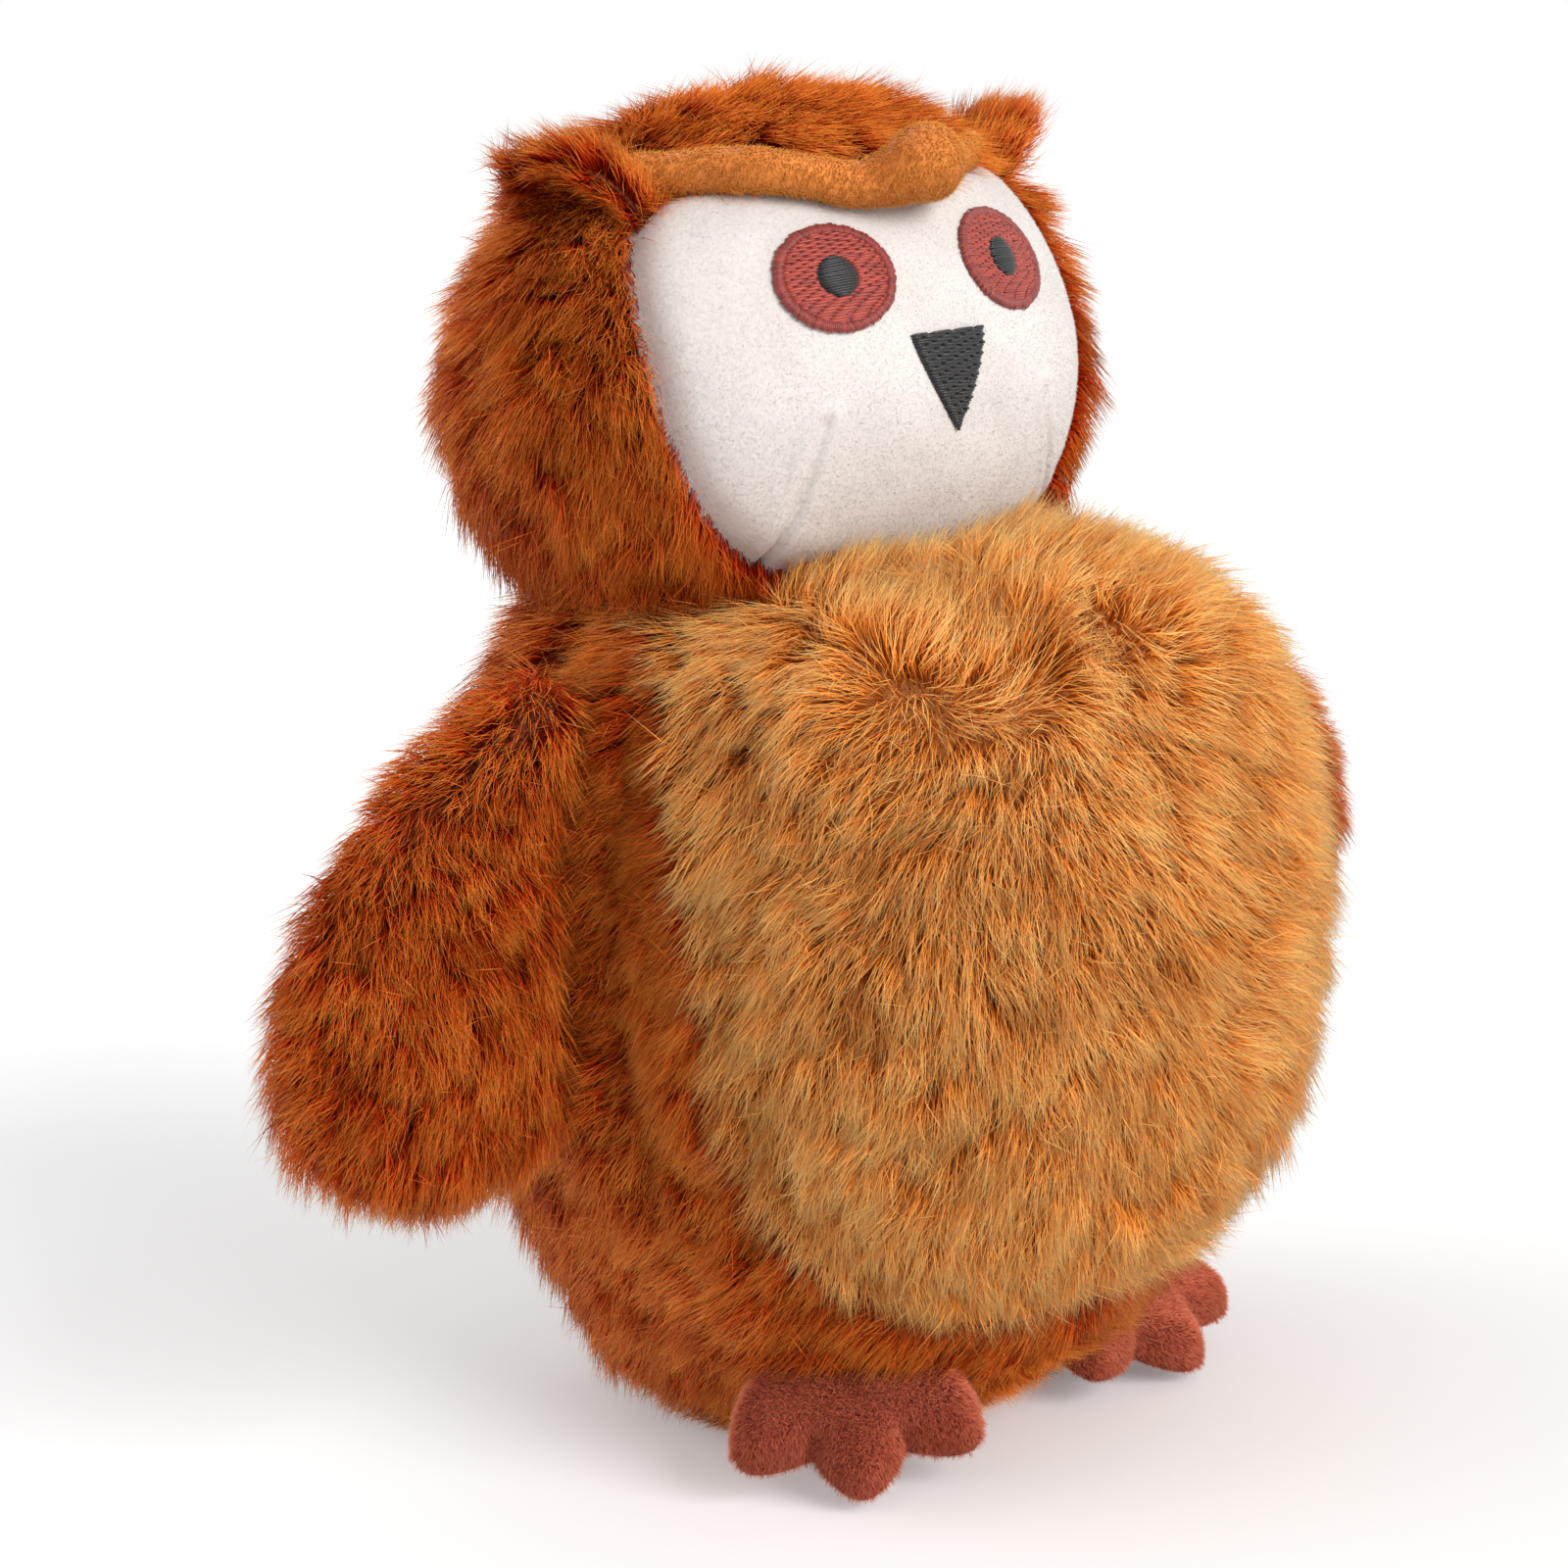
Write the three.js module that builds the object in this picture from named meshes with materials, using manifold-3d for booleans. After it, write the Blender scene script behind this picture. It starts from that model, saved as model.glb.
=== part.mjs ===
// A stuffed owl toy for dogs, in millimetres, +Z up, facing -Y, with its origin under the base.
// Long-pile panels are drawn at the full depth of their pile, so each one is a thick shell.
import * as THREE from "three";
import { mergeVertices } from "three/addons/utils/BufferGeometryUtils.js";
import Module from "manifold-3d";

const wasm = await Module();
wasm.setup();

// Cloths and the gap that is left between touching pieces
const SEAM_GAP = 0.3;
const LONG_PILE = 8;
const WING_PILE = 6;
const FACE_CLOTH = 2.5;
const BROW_CLOTH = 1.8;
const FOOT_CLOTH = 2;
const EMBROIDERY = 1.2;

// Body: an egg with a full chest
const BODY_HEIGHT = 161;
const BODY_HALF_WIDTH = 72;
const CHEST_REACH = 102;
const BACK_REACH = 57;
const BODY_SQUARENESS = 2.2;
// Swell of the body from base to neck: shares of its height, half width, chest reach and back reach
const BODY_SWELL = [
  { level: 0, width: 0.48, front: 0.32, back: 0.66 },
  { level: 0.05, width: 0.64, front: 0.46, back: 0.82 },
  { level: 0.175, width: 0.79, front: 0.71, back: 0.96 },
  { level: 0.36, width: 0.94, front: 0.93, back: 1 },
  { level: 0.55, width: 1, front: 1, back: 1 },
  { level: 0.72, width: 0.97, front: 1, back: 0.95 },
  { level: 0.845, width: 0.86, front: 0.96, back: 0.86 },
  { level: 0.92, width: 0.73, front: 0.89, back: 0.73 },
  { level: 0.97, width: 0.58, front: 0.77, back: 0.56 },
  { level: 1, width: 0.36, front: 0.56, back: 0.34 },
];

// Belly panel, seen from the front, and the oval base panel
const BELLY_HALF_WIDTH = 63;
const BELLY_WIDEST = 97;
const BELLY_NECK_HALF_WIDTH = 42;
const BELLY_NECK_DROP = 6;
const BELLY_LOWER_HALF_WIDTH = 52;
const BELLY_LOWER = 54;
const BELLY_HEM_HALF_WIDTH = 30;
const BELLY_HEM = 30;
const BASE_MARGIN = 4;

// Head: a wide ball that leans back and sinks into the top of the body
const HEAD_HALF_WIDTH = 62;
const HEAD_RADIUS = 52.5;
const HEAD_CROWN = 53;
const HEAD_TILT_ANGLE = 16;
const HEAD_SETBACK = 2;
const NECK_SINK = 30;
const NECK_CLEARANCE = 0.7;

// Face panel, seen along the face
const FACE_SETBACK = 2;
const FACE_HALF_WIDTH = 47.5;
const FACE_WIDEST = -4;
const FACE_TOP = 22;
const FACE_BROW_HALF_WIDTH = 37;
const FACE_BROW = 29;
const FACE_JAW_HALF_WIDTH = 34;
const FACE_JAW = -34;
const FACE_CHIN = -42;

// Embroidered eyes and beak
const EYE_SPREAD = 18;
const EYE_HEIGHT = 6.5;
const EYE_HALF_WIDTH = 10.4;
const EYE_HALF_HEIGHT = 9.4;
const PUPIL_RADIUS = 3.4;
const BEAK_HALF_WIDTH = 8;
const BEAK_TOP = -5;
const BEAK_TIP = -21;

// Brow roll: ends by the ears, low over the eyes, with a knob between them
const BROW_END_SPREAD = 43;
const BROW_END_HEIGHT = 34;
const BROW_MID_SPREAD = 24;
const BROW_MID_HEIGHT = 25.5;
const BROW_LOW_SPREAD = 9;
const BROW_LOW_HEIGHT = 19.5;
const BROW_KNOB_HEIGHT = 22;
const BROW_KNOB_REACH = 6;
const BROW_STANDOFF = 2.4;
const BROW_RADIUS = 4.6;
const BROW_KNOB_RADIUS = 6.6;
const BROW_END_RADIUS = 2.6;

// Ear tufts: cupped flaps high on the sides of the head
const EAR_SPREAD = 45;
const EAR_HEIGHT = 32;
const EAR_FORWARD = 17;
const EAR_HALF_WIDTH = 13;
const EAR_HALF_HEIGHT = 12;
const EAR_HALF_THICKNESS = 6.5;
const EAR_LEAN_ANGLE = 46;
const EAR_CUP_DEPTH = 5;

// Wings: stuffed paddles that hang from the shoulder seams
const SHOULDER_HEIGHT = 138;
const WING_LENGTH = 85;
const WING_HALF_WIDTH = 31;
const WING_HALF_THICKNESS = 16;
const WING_ROOT_RADIUS = 8;
const WING_CLEARANCE = 0.4;
const WING_FOLDED_ANGLE = 20;
const RIGHT_WING_ANGLE = 0;
const LEFT_WING_ANGLE = 8;
const WING_FORWARD = 8;
const WING_ROOT_HALF_THICKNESS = 10;
// Swell of a wing from its tip towards its root: shares of its length, half width and half thickness
const WING_SWELL = [
  { along: 1, width: 0.2, thickness: 0.25 },
  { along: 0.97, width: 0.48, thickness: 0.52 },
  { along: 0.88, width: 0.82, thickness: 0.82 },
  { along: 0.7, width: 1, thickness: 1 },
  { along: 0.47, width: 0.93, thickness: 0.98 },
  { along: 0.24, width: 0.66, thickness: 0.84 },
  { along: 0.08, width: 0.38, thickness: 0.7 },
];

// Feet: flat stuffed pads with three toes, sewn on under the front of the body
const RIGHT_ANKLE_SPREAD = 31;
const LEFT_ANKLE_SPREAD = 29;
const RIGHT_ANKLE_FORWARD = 36.5;
const LEFT_ANKLE_FORWARD = 31;
const RIGHT_ANKLE_HEIGHT = 20.7;
const LEFT_ANKLE_HEIGHT = 17;
const RIGHT_FOOT_TURN_ANGLE = 36;
const LEFT_FOOT_TURN_ANGLE = 10;
const RIGHT_FOOT_SLOPE_ANGLE = 33;
const LEFT_FOOT_SLOPE_ANGLE = 24;
const FOOT_HALF_WIDTH = 15;
const FOOT_HALF_LENGTH = 12;
const FOOT_HALF_HEIGHT = 9;
const FOOT_HEEL = 4;
const SOLE_DROP = 6;
const TOE_HALF_WIDTH = 7;
const TOE_HALF_LENGTH = 11;
const TOE_HALF_HEIGHT = 7;
const TOE_TIP = 28;
const TOE_FAN_ANGLE = 45;
const PAD_RAISE = 2;
const FOOT_CLEARANCE = 0.5;
const FOOT_LIFT_ANGLE = 8;
const FOOT_DROOP_ANGLE = 12;

// Squeaker: a soft bulb with a reed plug in its mouth, in a pocket in the stuffing
const SQUEAKER_HEIGHT = 82;
const SQUEAKER_FORWARD = 30;
const SQUEAKER_RADIUS = 21;
const SQUEAKER_LENGTH = 26;
const SQUEAKER_WALL = 1.2;
const MOUTH_RADIUS = 6;
const PLUG_LENGTH = 10;
const PLUG_FLANGE = 1.5;
const PLUG_BORE_RADIUS = 2.6;
const REED_WIDTH = 4.4;
const REED_LENGTH = 8;
const REED_THICKNESS = 0.5;

// Closing stitch: the strip of ladder stitching in the seam down the back
const STITCH_WIDTH = 1.8;
const STITCH_DEPTH = 1.6;
const STITCH_INSET = 1;
const STITCH_LOW = 60;
const STITCH_HIGH = 112;

// Facets of the swollen forms
const BODY_SIDES = 28;
const BODY_RINGS = 14;
const HEAD_SIDES = 24;
const HEAD_RINGS = 12;
const WING_SIDES = 14;
const WING_RINGS = 8;
const SMALL_SIDES = 10;
const SMALL_RINGS = 6;
const TURNED_SIDES = 14;
const TURNED_STEPS = 5;
const BROW_SIDES = 8;
const BROW_RINGS = 14;
const OUTLINE_POINTS = 28;
const SWELL_HALVINGS = 30;
const ROOT_STEPS = 12;

const brownPile = new THREE.MeshStandardMaterial({ color: 0xa5501a, roughness: 0.95, metalness: 0 });
const tanPile = new THREE.MeshStandardMaterial({ color: 0xb9824b, roughness: 0.95, metalness: 0 });
const whiteVelboa = new THREE.MeshStandardMaterial({ color: 0xeeebe8, roughness: 0.9, metalness: 0 });
const tanVelboa = new THREE.MeshStandardMaterial({ color: 0xb97837, roughness: 0.9, metalness: 0 });
const maroonVelboa = new THREE.MeshStandardMaterial({ color: 0x7d3c32, roughness: 0.9, metalness: 0 });
const redThread = new THREE.MeshStandardMaterial({ color: 0xa54641, roughness: 0.55, metalness: 0 });
const blackThread = new THREE.MeshStandardMaterial({ color: 0x28282a, roughness: 0.55, metalness: 0 });
const brownThread = new THREE.MeshStandardMaterial({ color: 0x7a3a14, roughness: 0.6, metalness: 0 });
const fibreFill = new THREE.MeshStandardMaterial({ color: 0xf2f1ec, roughness: 1, metalness: 0 });
const softPlastic = new THREE.MeshStandardMaterial({ color: 0xe6e2d6, roughness: 0.5, metalness: 0 });

const FAR = 4 * BODY_HEIGHT;
const radians = THREE.MathUtils.degToRad;

// A closed geometry as a solid that can be cut and joined
function solidOf(geometry) {
  const bare = geometry.clone();
  bare.deleteAttribute("normal");
  bare.deleteAttribute("uv");
  const merged = mergeVertices(bare);
  const vertProperties = merged.attributes.position.array;
  const triVerts = Uint32Array.from(merged.index.array);
  return new wasm.Manifold(new wasm.Mesh({ numProp: 3, vertProperties, triVerts }));
}

function meshOf(name, solid, material) {
  const { vertProperties, triVerts } = solid.getMesh();
  const geometry = new THREE.BufferGeometry();
  geometry.setAttribute("position", new THREE.BufferAttribute(vertProperties, 3));
  geometry.setIndex(new THREE.BufferAttribute(triVerts, 1));
  geometry.computeVertexNormals();
  const mesh = new THREE.Mesh(geometry, material);
  mesh.name = name;
  return mesh;
}

// A block between two corners, used to keep one side of a piece
function block(low, high) {
  const size = new THREE.Vector3().subVectors(high, low);
  const middle = new THREE.Vector3().addVectors(low, high).multiplyScalar(0.5);
  const geometry = new THREE.BoxGeometry(size.x, size.y, size.z);
  return solidOf(geometry.translate(middle.x, middle.y, middle.z));
}

const leftOfSeam = block(new THREE.Vector3(SEAM_GAP / 2, -FAR, -FAR), new THREE.Vector3(FAR, FAR, FAR));
const rightOfSeam = block(new THREE.Vector3(-FAR, -FAR, -FAR), new THREE.Vector3(-SEAM_GAP / 2, FAR, FAR));

// A skin over rings of points, closed by a fan at each end
function loft(rings) {
  const sides = rings[0].length;
  const points = rings.flat();
  const triangles = [];
  for (let ring = 0; ring + 1 < rings.length; ring += 1) {
    for (let side = 0; side < sides; side += 1) {
      const here = ring * sides + side;
      const next = ring * sides + ((side + 1) % sides);
      triangles.push(here, next, next + sides, here, next + sides, here + sides);
    }
  }
  const firstHub = points.length;
  const lastRing = firstHub - sides;
  for (const ring of [rings[0], rings[rings.length - 1]]) {
    const hub = new THREE.Vector3();
    ring.forEach((point) => hub.addScaledVector(point, 1 / sides));
    points.push(hub);
  }
  for (let side = 0; side < sides; side += 1) {
    const next = (side + 1) % sides;
    triangles.push(firstHub, next, side, firstHub + 1, lastRing + side, lastRing + next);
  }
  return new THREE.BufferGeometry().setFromPoints(points).setIndex(triangles);
}

function roundedPower(value, squareness) {
  return Math.sign(value) * Math.abs(value) ** (2 / squareness);
}

// The body's half width and reaches at a share of the way along its swell
const bodyWidthCurve = new THREE.CatmullRomCurve3(
  BODY_SWELL.map((station) => new THREE.Vector3(station.width, station.level, 0)));
const bodyReachCurve = new THREE.CatmullRomCurve3(
  BODY_SWELL.map((station) => new THREE.Vector3(station.front, station.level, station.back)));
bodyWidthCurve.curveType = "catmullrom";
bodyReachCurve.curveType = "catmullrom";

// The body's egg, drawn in by inset all over, or swollen where inset is negative
function bodyForm(inset) {
  const rings = [];
  for (let step = 0; step <= BODY_RINGS; step += 1) {
    const width = bodyWidthCurve.getPoint(step / BODY_RINGS);
    const reach = bodyReachCurve.getPoint(step / BODY_RINGS);
    const height = inset + width.y * (BODY_HEIGHT - 2 * inset);
    const ring = [];
    for (let side = 0; side < BODY_SIDES; side += 1) {
      const turn = (side / BODY_SIDES) * 2 * Math.PI;
      const across = roundedPower(Math.cos(turn), BODY_SQUARENESS);
      const along = roundedPower(Math.sin(turn), BODY_SQUARENESS);
      const depth = along < 0 ? reach.x * CHEST_REACH : reach.z * BACK_REACH;
      ring.push(new THREE.Vector3(
        across * (width.x * BODY_HALF_WIDTH - inset), along * (depth - inset), height));
    }
    rings.push(ring);
  }
  return loft(rings);
}

const bodySolid = (inset) => solidOf(bodyForm(inset));

// The body's half width at a height, found on the swell by halving
function bodyHalfWidthAt(height) {
  let low = 0;
  let high = 1;
  for (let halving = 0; halving < SWELL_HALVINGS; halving += 1) {
    const middle = (low + high) / 2;
    if (bodyWidthCurve.getPoint(middle).y * BODY_HEIGHT < height) {
      low = middle;
    } else {
      high = middle;
    }
  }
  return bodyWidthCurve.getPoint(low).x * BODY_HALF_WIDTH;
}

// A ball that is round about X below its middle, so that it can nod, and grown all over
function headForm(grow) {
  const ball = new THREE.SphereGeometry(1, HEAD_SIDES, HEAD_RINGS).rotateZ(Math.PI / 2);
  ball.scale(HEAD_HALF_WIDTH + grow, HEAD_RADIUS + grow, HEAD_RADIUS + grow);
  const position = ball.attributes.position;
  for (let index = 0; index < position.count; index += 1) {
    const rise = position.getZ(index);
    if (rise > 0) {
      position.setZ(index, (rise * (HEAD_CROWN + grow)) / (HEAD_RADIUS + grow));
    }
  }
  return ball;
}

// The front of the head at a place on the face, as a depth along Y
function faceDepth(x, z) {
  const rise = z > 0 ? HEAD_CROWN : HEAD_RADIUS;
  return -HEAD_RADIUS * Math.sqrt(Math.max(1 - (x / HEAD_HALF_WIDTH) ** 2 - (z / rise) ** 2, 0));
}

// A smooth closed outline through points given for one half, from the top down, grown outward
function mirroredOutline(halfPoints, grow) {
  const inner = halfPoints.slice(1, -1);
  const around = [
    ...halfPoints,
    ...inner.reverse().map(([x, z]) => [-x, z]),
  ].reverse();
  const curve = new THREE.CatmullRomCurve3(around.map(([x, z]) => new THREE.Vector3(x, z, 0)), true);
  const outline = [];
  for (let step = 0; step < OUTLINE_POINTS; step += 1) {
    const share = step / OUTLINE_POINTS;
    const place = curve.getPoint(share);
    const tangent = curve.getTangent(share);
    outline.push(new THREE.Vector2(place.x + tangent.y * grow, place.y - tangent.x * grow));
  }
  return new THREE.Shape(outline);
}

// A prism on a front-view shape, from the middle plane out past the front
function frontPrism(shape) {
  const geometry = new THREE.ExtrudeGeometry(shape, { depth: FAR, bevelEnabled: false });
  return solidOf(geometry.rotateX(Math.PI / 2));
}

function ellipseShape(x, z, halfWidth, halfHeight) {
  return new THREE.Shape().absellipse(x, z, halfWidth, halfHeight, 0, 2 * Math.PI);
}

// An egg of small size with its own half sizes along X, Y and Z
function smallEgg(halfX, halfY, halfZ) {
  const ball = new THREE.SphereGeometry(1, SMALL_SIDES, SMALL_RINGS).rotateX(Math.PI / 2);
  return ball.scale(halfX, halfY, halfZ);
}

// Where the head sits on the body, and the hollow that it nods in
const headHeight = BODY_HEIGHT - NECK_SINK + HEAD_RADIUS;
const headGroup = new THREE.Group();
headGroup.position.set(0, HEAD_SETBACK, headHeight);
headGroup.rotation.x = -radians(HEAD_TILT_ANGLE);

const neck = solidOf(headForm(NECK_CLEARANCE)
  .rotateX(headGroup.rotation.x)
  .translate(0, HEAD_SETBACK, headHeight));

// Body: two side panels, a belly panel and a base panel around the stuffing
const bodyGroup = new THREE.Group();

function bellyPrism(grow) {
  return frontPrism(mirroredOutline([
    [0, BODY_HEIGHT + BELLY_NECK_DROP],
    [BELLY_NECK_HALF_WIDTH, BODY_HEIGHT - BELLY_NECK_DROP],
    [BELLY_HALF_WIDTH, BELLY_WIDEST],
    [BELLY_LOWER_HALF_WIDTH, BELLY_LOWER],
    [BELLY_HEM_HALF_WIDTH, BELLY_HEM],
    [0, BELLY_HEM],
  ], grow));
}

function basePrism(grow) {
  const base = BODY_SWELL[0];
  const halfLength = (base.front * CHEST_REACH + base.back * BACK_REACH) / 2;
  const middle = halfLength - base.front * CHEST_REACH;
  const shape = ellipseShape(
    0, middle, base.width * BODY_HALF_WIDTH - BASE_MARGIN + grow, halfLength - BASE_MARGIN + grow);
  const geometry = new THREE.ExtrudeGeometry(shape, { depth: 2 * LONG_PILE, bevelEnabled: false });
  return solidOf(geometry.translate(0, 0, -LONG_PILE / 2));
}

const bodyShell = bodySolid(0).subtract(bodySolid(LONG_PILE)).subtract(neck);
const bellyPanel = bodyShell.intersect(bellyPrism(0));
const basePanel = bodyShell.intersect(basePrism(0));

function stitchStrip(grow) {
  return block(
    new THREE.Vector3(-STITCH_WIDTH / 2 - grow, 0, STITCH_LOW - grow),
    new THREE.Vector3(STITCH_WIDTH / 2 + grow, FAR, STITCH_HIGH + grow));
}

const stitchFloor = STITCH_INSET + STITCH_DEPTH;
const stitchGroove = stitchStrip(SEAM_GAP).subtract(bodySolid(stitchFloor + SEAM_GAP));
const closingStitch = bodySolid(STITCH_INSET).subtract(bodySolid(stitchFloor)).intersect(stitchStrip(0));
const sidePanels = bodyShell
  .subtract(bellyPrism(SEAM_GAP))
  .subtract(basePrism(SEAM_GAP))
  .subtract(stitchGroove);

bodyGroup.add(
  meshOf("body_left_panel", sidePanels.intersect(leftOfSeam), brownPile),
  meshOf("body_right_panel", sidePanels.intersect(rightOfSeam), brownPile),
  meshOf("belly_panel", bellyPanel, tanPile),
  meshOf("base_panel", basePanel, brownPile),
  meshOf("closing_stitch", closingStitch, brownThread));

// Squeaker: turned profiles about Y, with the bulb's mouth towards the back
function turned(profile) {
  const points = profile.map(([radius, along]) => new THREE.Vector2(radius, along));
  const geometry = new THREE.LatheGeometry(points, TURNED_SIDES);
  return solidOf(geometry.translate(0, -SQUEAKER_FORWARD, SQUEAKER_HEIGHT));
}

// The curve of the bulb from its front pole to the place where its radius falls to the mouth's
function bulbCurve(radius, halfLength, mouth) {
  const last = Math.acos(mouth / radius);
  const points = [];
  for (let step = 0; step <= TURNED_STEPS; step += 1) {
    const turn = THREE.MathUtils.lerp(-Math.PI / 2, last, step / TURNED_STEPS);
    points.push([step === 0 ? 0 : radius * Math.cos(turn), halfLength * Math.sin(turn)]);
  }
  return points;
}

const bulbOutside = bulbCurve(SQUEAKER_RADIUS, SQUEAKER_LENGTH / 2, MOUTH_RADIUS);
const bulbInside = bulbCurve(
  SQUEAKER_RADIUS - SQUEAKER_WALL, SQUEAKER_LENGTH / 2 - SQUEAKER_WALL, MOUTH_RADIUS - SQUEAKER_WALL);
const mouthEnd = bulbOutside[bulbOutside.length - 1][1];
const flangeStart = mouthEnd + SEAM_GAP;
const flangeEnd = flangeStart + PLUG_FLANGE;
const plugRadius = MOUTH_RADIUS - SQUEAKER_WALL - SEAM_GAP;
const plugStart = flangeStart - PLUG_LENGTH;
const plugProfile = [
  [PLUG_BORE_RADIUS, plugStart],
  [plugRadius, plugStart],
  [plugRadius, flangeStart],
  [MOUTH_RADIUS, flangeStart],
  [MOUTH_RADIUS, flangeEnd],
  [PLUG_BORE_RADIUS, flangeEnd],
  [PLUG_BORE_RADIUS, plugStart],
];
const reed = new THREE.BoxGeometry(REED_WIDTH, REED_LENGTH, REED_THICKNESS)
  .translate(0, flangeEnd - REED_LENGTH / 2 - SQUEAKER_FORWARD, SQUEAKER_HEIGHT);
const pocketCurve = bulbCurve(
  SQUEAKER_RADIUS + SEAM_GAP, SQUEAKER_LENGTH / 2 + SEAM_GAP, MOUTH_RADIUS + SEAM_GAP);
const pocket = turned([
  ...pocketCurve,
  [MOUTH_RADIUS + SEAM_GAP, flangeEnd + SEAM_GAP],
  [0, flangeEnd + SEAM_GAP],
]);

bodyGroup.add(
  meshOf("squeaker_bulb", turned([...bulbOutside, ...bulbInside.reverse()]), softPlastic),
  meshOf("squeaker_reed_plug", turned(plugProfile), softPlastic),
  meshOf("squeaker_reed", solidOf(reed), softPlastic));

// Body stuffing: two wads that meet on the squeaker's widest plane
const bodyStuffing = bodySolid(LONG_PILE + SEAM_GAP).subtract(neck).subtract(pocket);
const frontHalf = block(
  new THREE.Vector3(-FAR, -FAR, -FAR),
  new THREE.Vector3(FAR, -SQUEAKER_FORWARD - SEAM_GAP / 2, FAR));
const backHalf = block(
  new THREE.Vector3(-FAR, -SQUEAKER_FORWARD + SEAM_GAP / 2, -FAR),
  new THREE.Vector3(FAR, FAR, FAR));

bodyGroup.add(
  meshOf("body_stuffing_front", bodyStuffing.intersect(frontHalf), fibreFill),
  meshOf("body_stuffing_back", bodyStuffing.intersect(backHalf), fibreFill));

// Head: two hood panels and a face panel around one wad of stuffing
const headSolid = (grow) => solidOf(headForm(grow));

function facePrism(grow) {
  return frontPrism(mirroredOutline([
    [0, FACE_TOP],
    [FACE_BROW_HALF_WIDTH, FACE_BROW],
    [FACE_HALF_WIDTH, FACE_WIDEST],
    [FACE_JAW_HALF_WIDTH, FACE_JAW],
    [0, FACE_CHIN],
  ], grow));
}

const hood = headSolid(0).subtract(headSolid(-LONG_PILE)).subtract(facePrism(SEAM_GAP));
const faceInside = -FACE_SETBACK - FACE_CLOTH;
const facePanel = headSolid(-FACE_SETBACK).subtract(headSolid(faceInside)).intersect(facePrism(0));
const headStuffing = headSolid(-LONG_PILE - SEAM_GAP).add(
  headSolid(faceInside - SEAM_GAP).intersect(facePrism(-SEAM_GAP)));

headGroup.add(
  meshOf("hood_left_panel", hood.intersect(leftOfSeam), brownPile),
  meshOf("hood_right_panel", hood.intersect(rightOfSeam), brownPile),
  meshOf("face_panel", facePanel, whiteVelboa),
  meshOf("head_stuffing", headStuffing, fibreFill));

// Embroidery: raised thread pads that follow the face
const threadFloor = -FACE_SETBACK + SEAM_GAP;
const threadLayer = headSolid(threadFloor + EMBROIDERY).subtract(headSolid(threadFloor));

function embroidered(shape) {
  return threadLayer.intersect(frontPrism(shape));
}

function eye(side, name) {
  const middle = side * EYE_SPREAD;
  const pupilHole = frontPrism(
    ellipseShape(middle, EYE_HEIGHT, PUPIL_RADIUS + SEAM_GAP, PUPIL_RADIUS + SEAM_GAP));
  const iris = embroidered(ellipseShape(middle, EYE_HEIGHT, EYE_HALF_WIDTH, EYE_HALF_HEIGHT));
  const pupil = embroidered(ellipseShape(middle, EYE_HEIGHT, PUPIL_RADIUS, PUPIL_RADIUS));
  headGroup.add(
    meshOf(`${name}_iris`, iris.subtract(pupilHole), redThread),
    meshOf(`${name}_pupil`, pupil, blackThread));
}

eye(1, "left");
eye(-1, "right");

const beakShape = new THREE.Shape()
  .moveTo(-BEAK_HALF_WIDTH, BEAK_TOP)
  .quadraticCurveTo(-BEAK_HALF_WIDTH, (BEAK_TOP + BEAK_TIP) / 2, 0, BEAK_TIP)
  .quadraticCurveTo(BEAK_HALF_WIDTH, (BEAK_TOP + BEAK_TIP) / 2, BEAK_HALF_WIDTH, BEAK_TOP);
headGroup.add(meshOf("beak", embroidered(beakShape), blackThread));

// Brow roll: a stuffed tube laid along the top of the face
const browHalf = [
  [BROW_END_SPREAD, BROW_END_HEIGHT, BROW_STANDOFF],
  [BROW_MID_SPREAD, BROW_MID_HEIGHT, BROW_STANDOFF],
  [BROW_LOW_SPREAD, BROW_LOW_HEIGHT, BROW_STANDOFF],
];
const browPath = new THREE.CatmullRomCurve3([
  ...browHalf.map(([x, z, reach]) => [-x, z, reach]),
  [0, BROW_KNOB_HEIGHT, BROW_KNOB_REACH],
  ...browHalf.reverse(),
].map(([x, z, reach]) => new THREE.Vector3(x, faceDepth(x, z) - reach, z)));

function browForm(inset) {
  const frames = browPath.computeFrenetFrames(BROW_RINGS);
  const rings = [];
  for (let step = 0; step <= BROW_RINGS; step += 1) {
    const share = step / BROW_RINGS;
    const middle = browPath.getPointAt(share);
    const nearKnob = Math.exp(-((middle.x / BROW_LOW_SPREAD) ** 2));
    const atEnd = step === 0 || step === BROW_RINGS;
    const swell = BROW_RADIUS + (BROW_KNOB_RADIUS - BROW_RADIUS) * nearKnob;
    const radius = (atEnd ? BROW_END_RADIUS : swell) - inset;
    const ring = [];
    for (let side = 0; side < BROW_SIDES; side += 1) {
      const turn = (side / BROW_SIDES) * 2 * Math.PI;
      ring.push(middle.clone()
        .addScaledVector(frames.normals[step], radius * Math.cos(turn))
        .addScaledVector(frames.binormals[step], radius * Math.sin(turn)));
    }
    rings.push(ring);
  }
  return solidOf(loft(rings));
}

const browSeat = headSolid(SEAM_GAP);
const besideBrow = browForm(-SEAM_GAP);
headGroup.add(
  meshOf("brow_roll_cover", browForm(0).subtract(browForm(BROW_CLOTH)).subtract(browSeat), tanVelboa),
  meshOf("brow_roll_stuffing", browForm(BROW_CLOTH + SEAM_GAP).subtract(browSeat), fibreFill));

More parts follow.
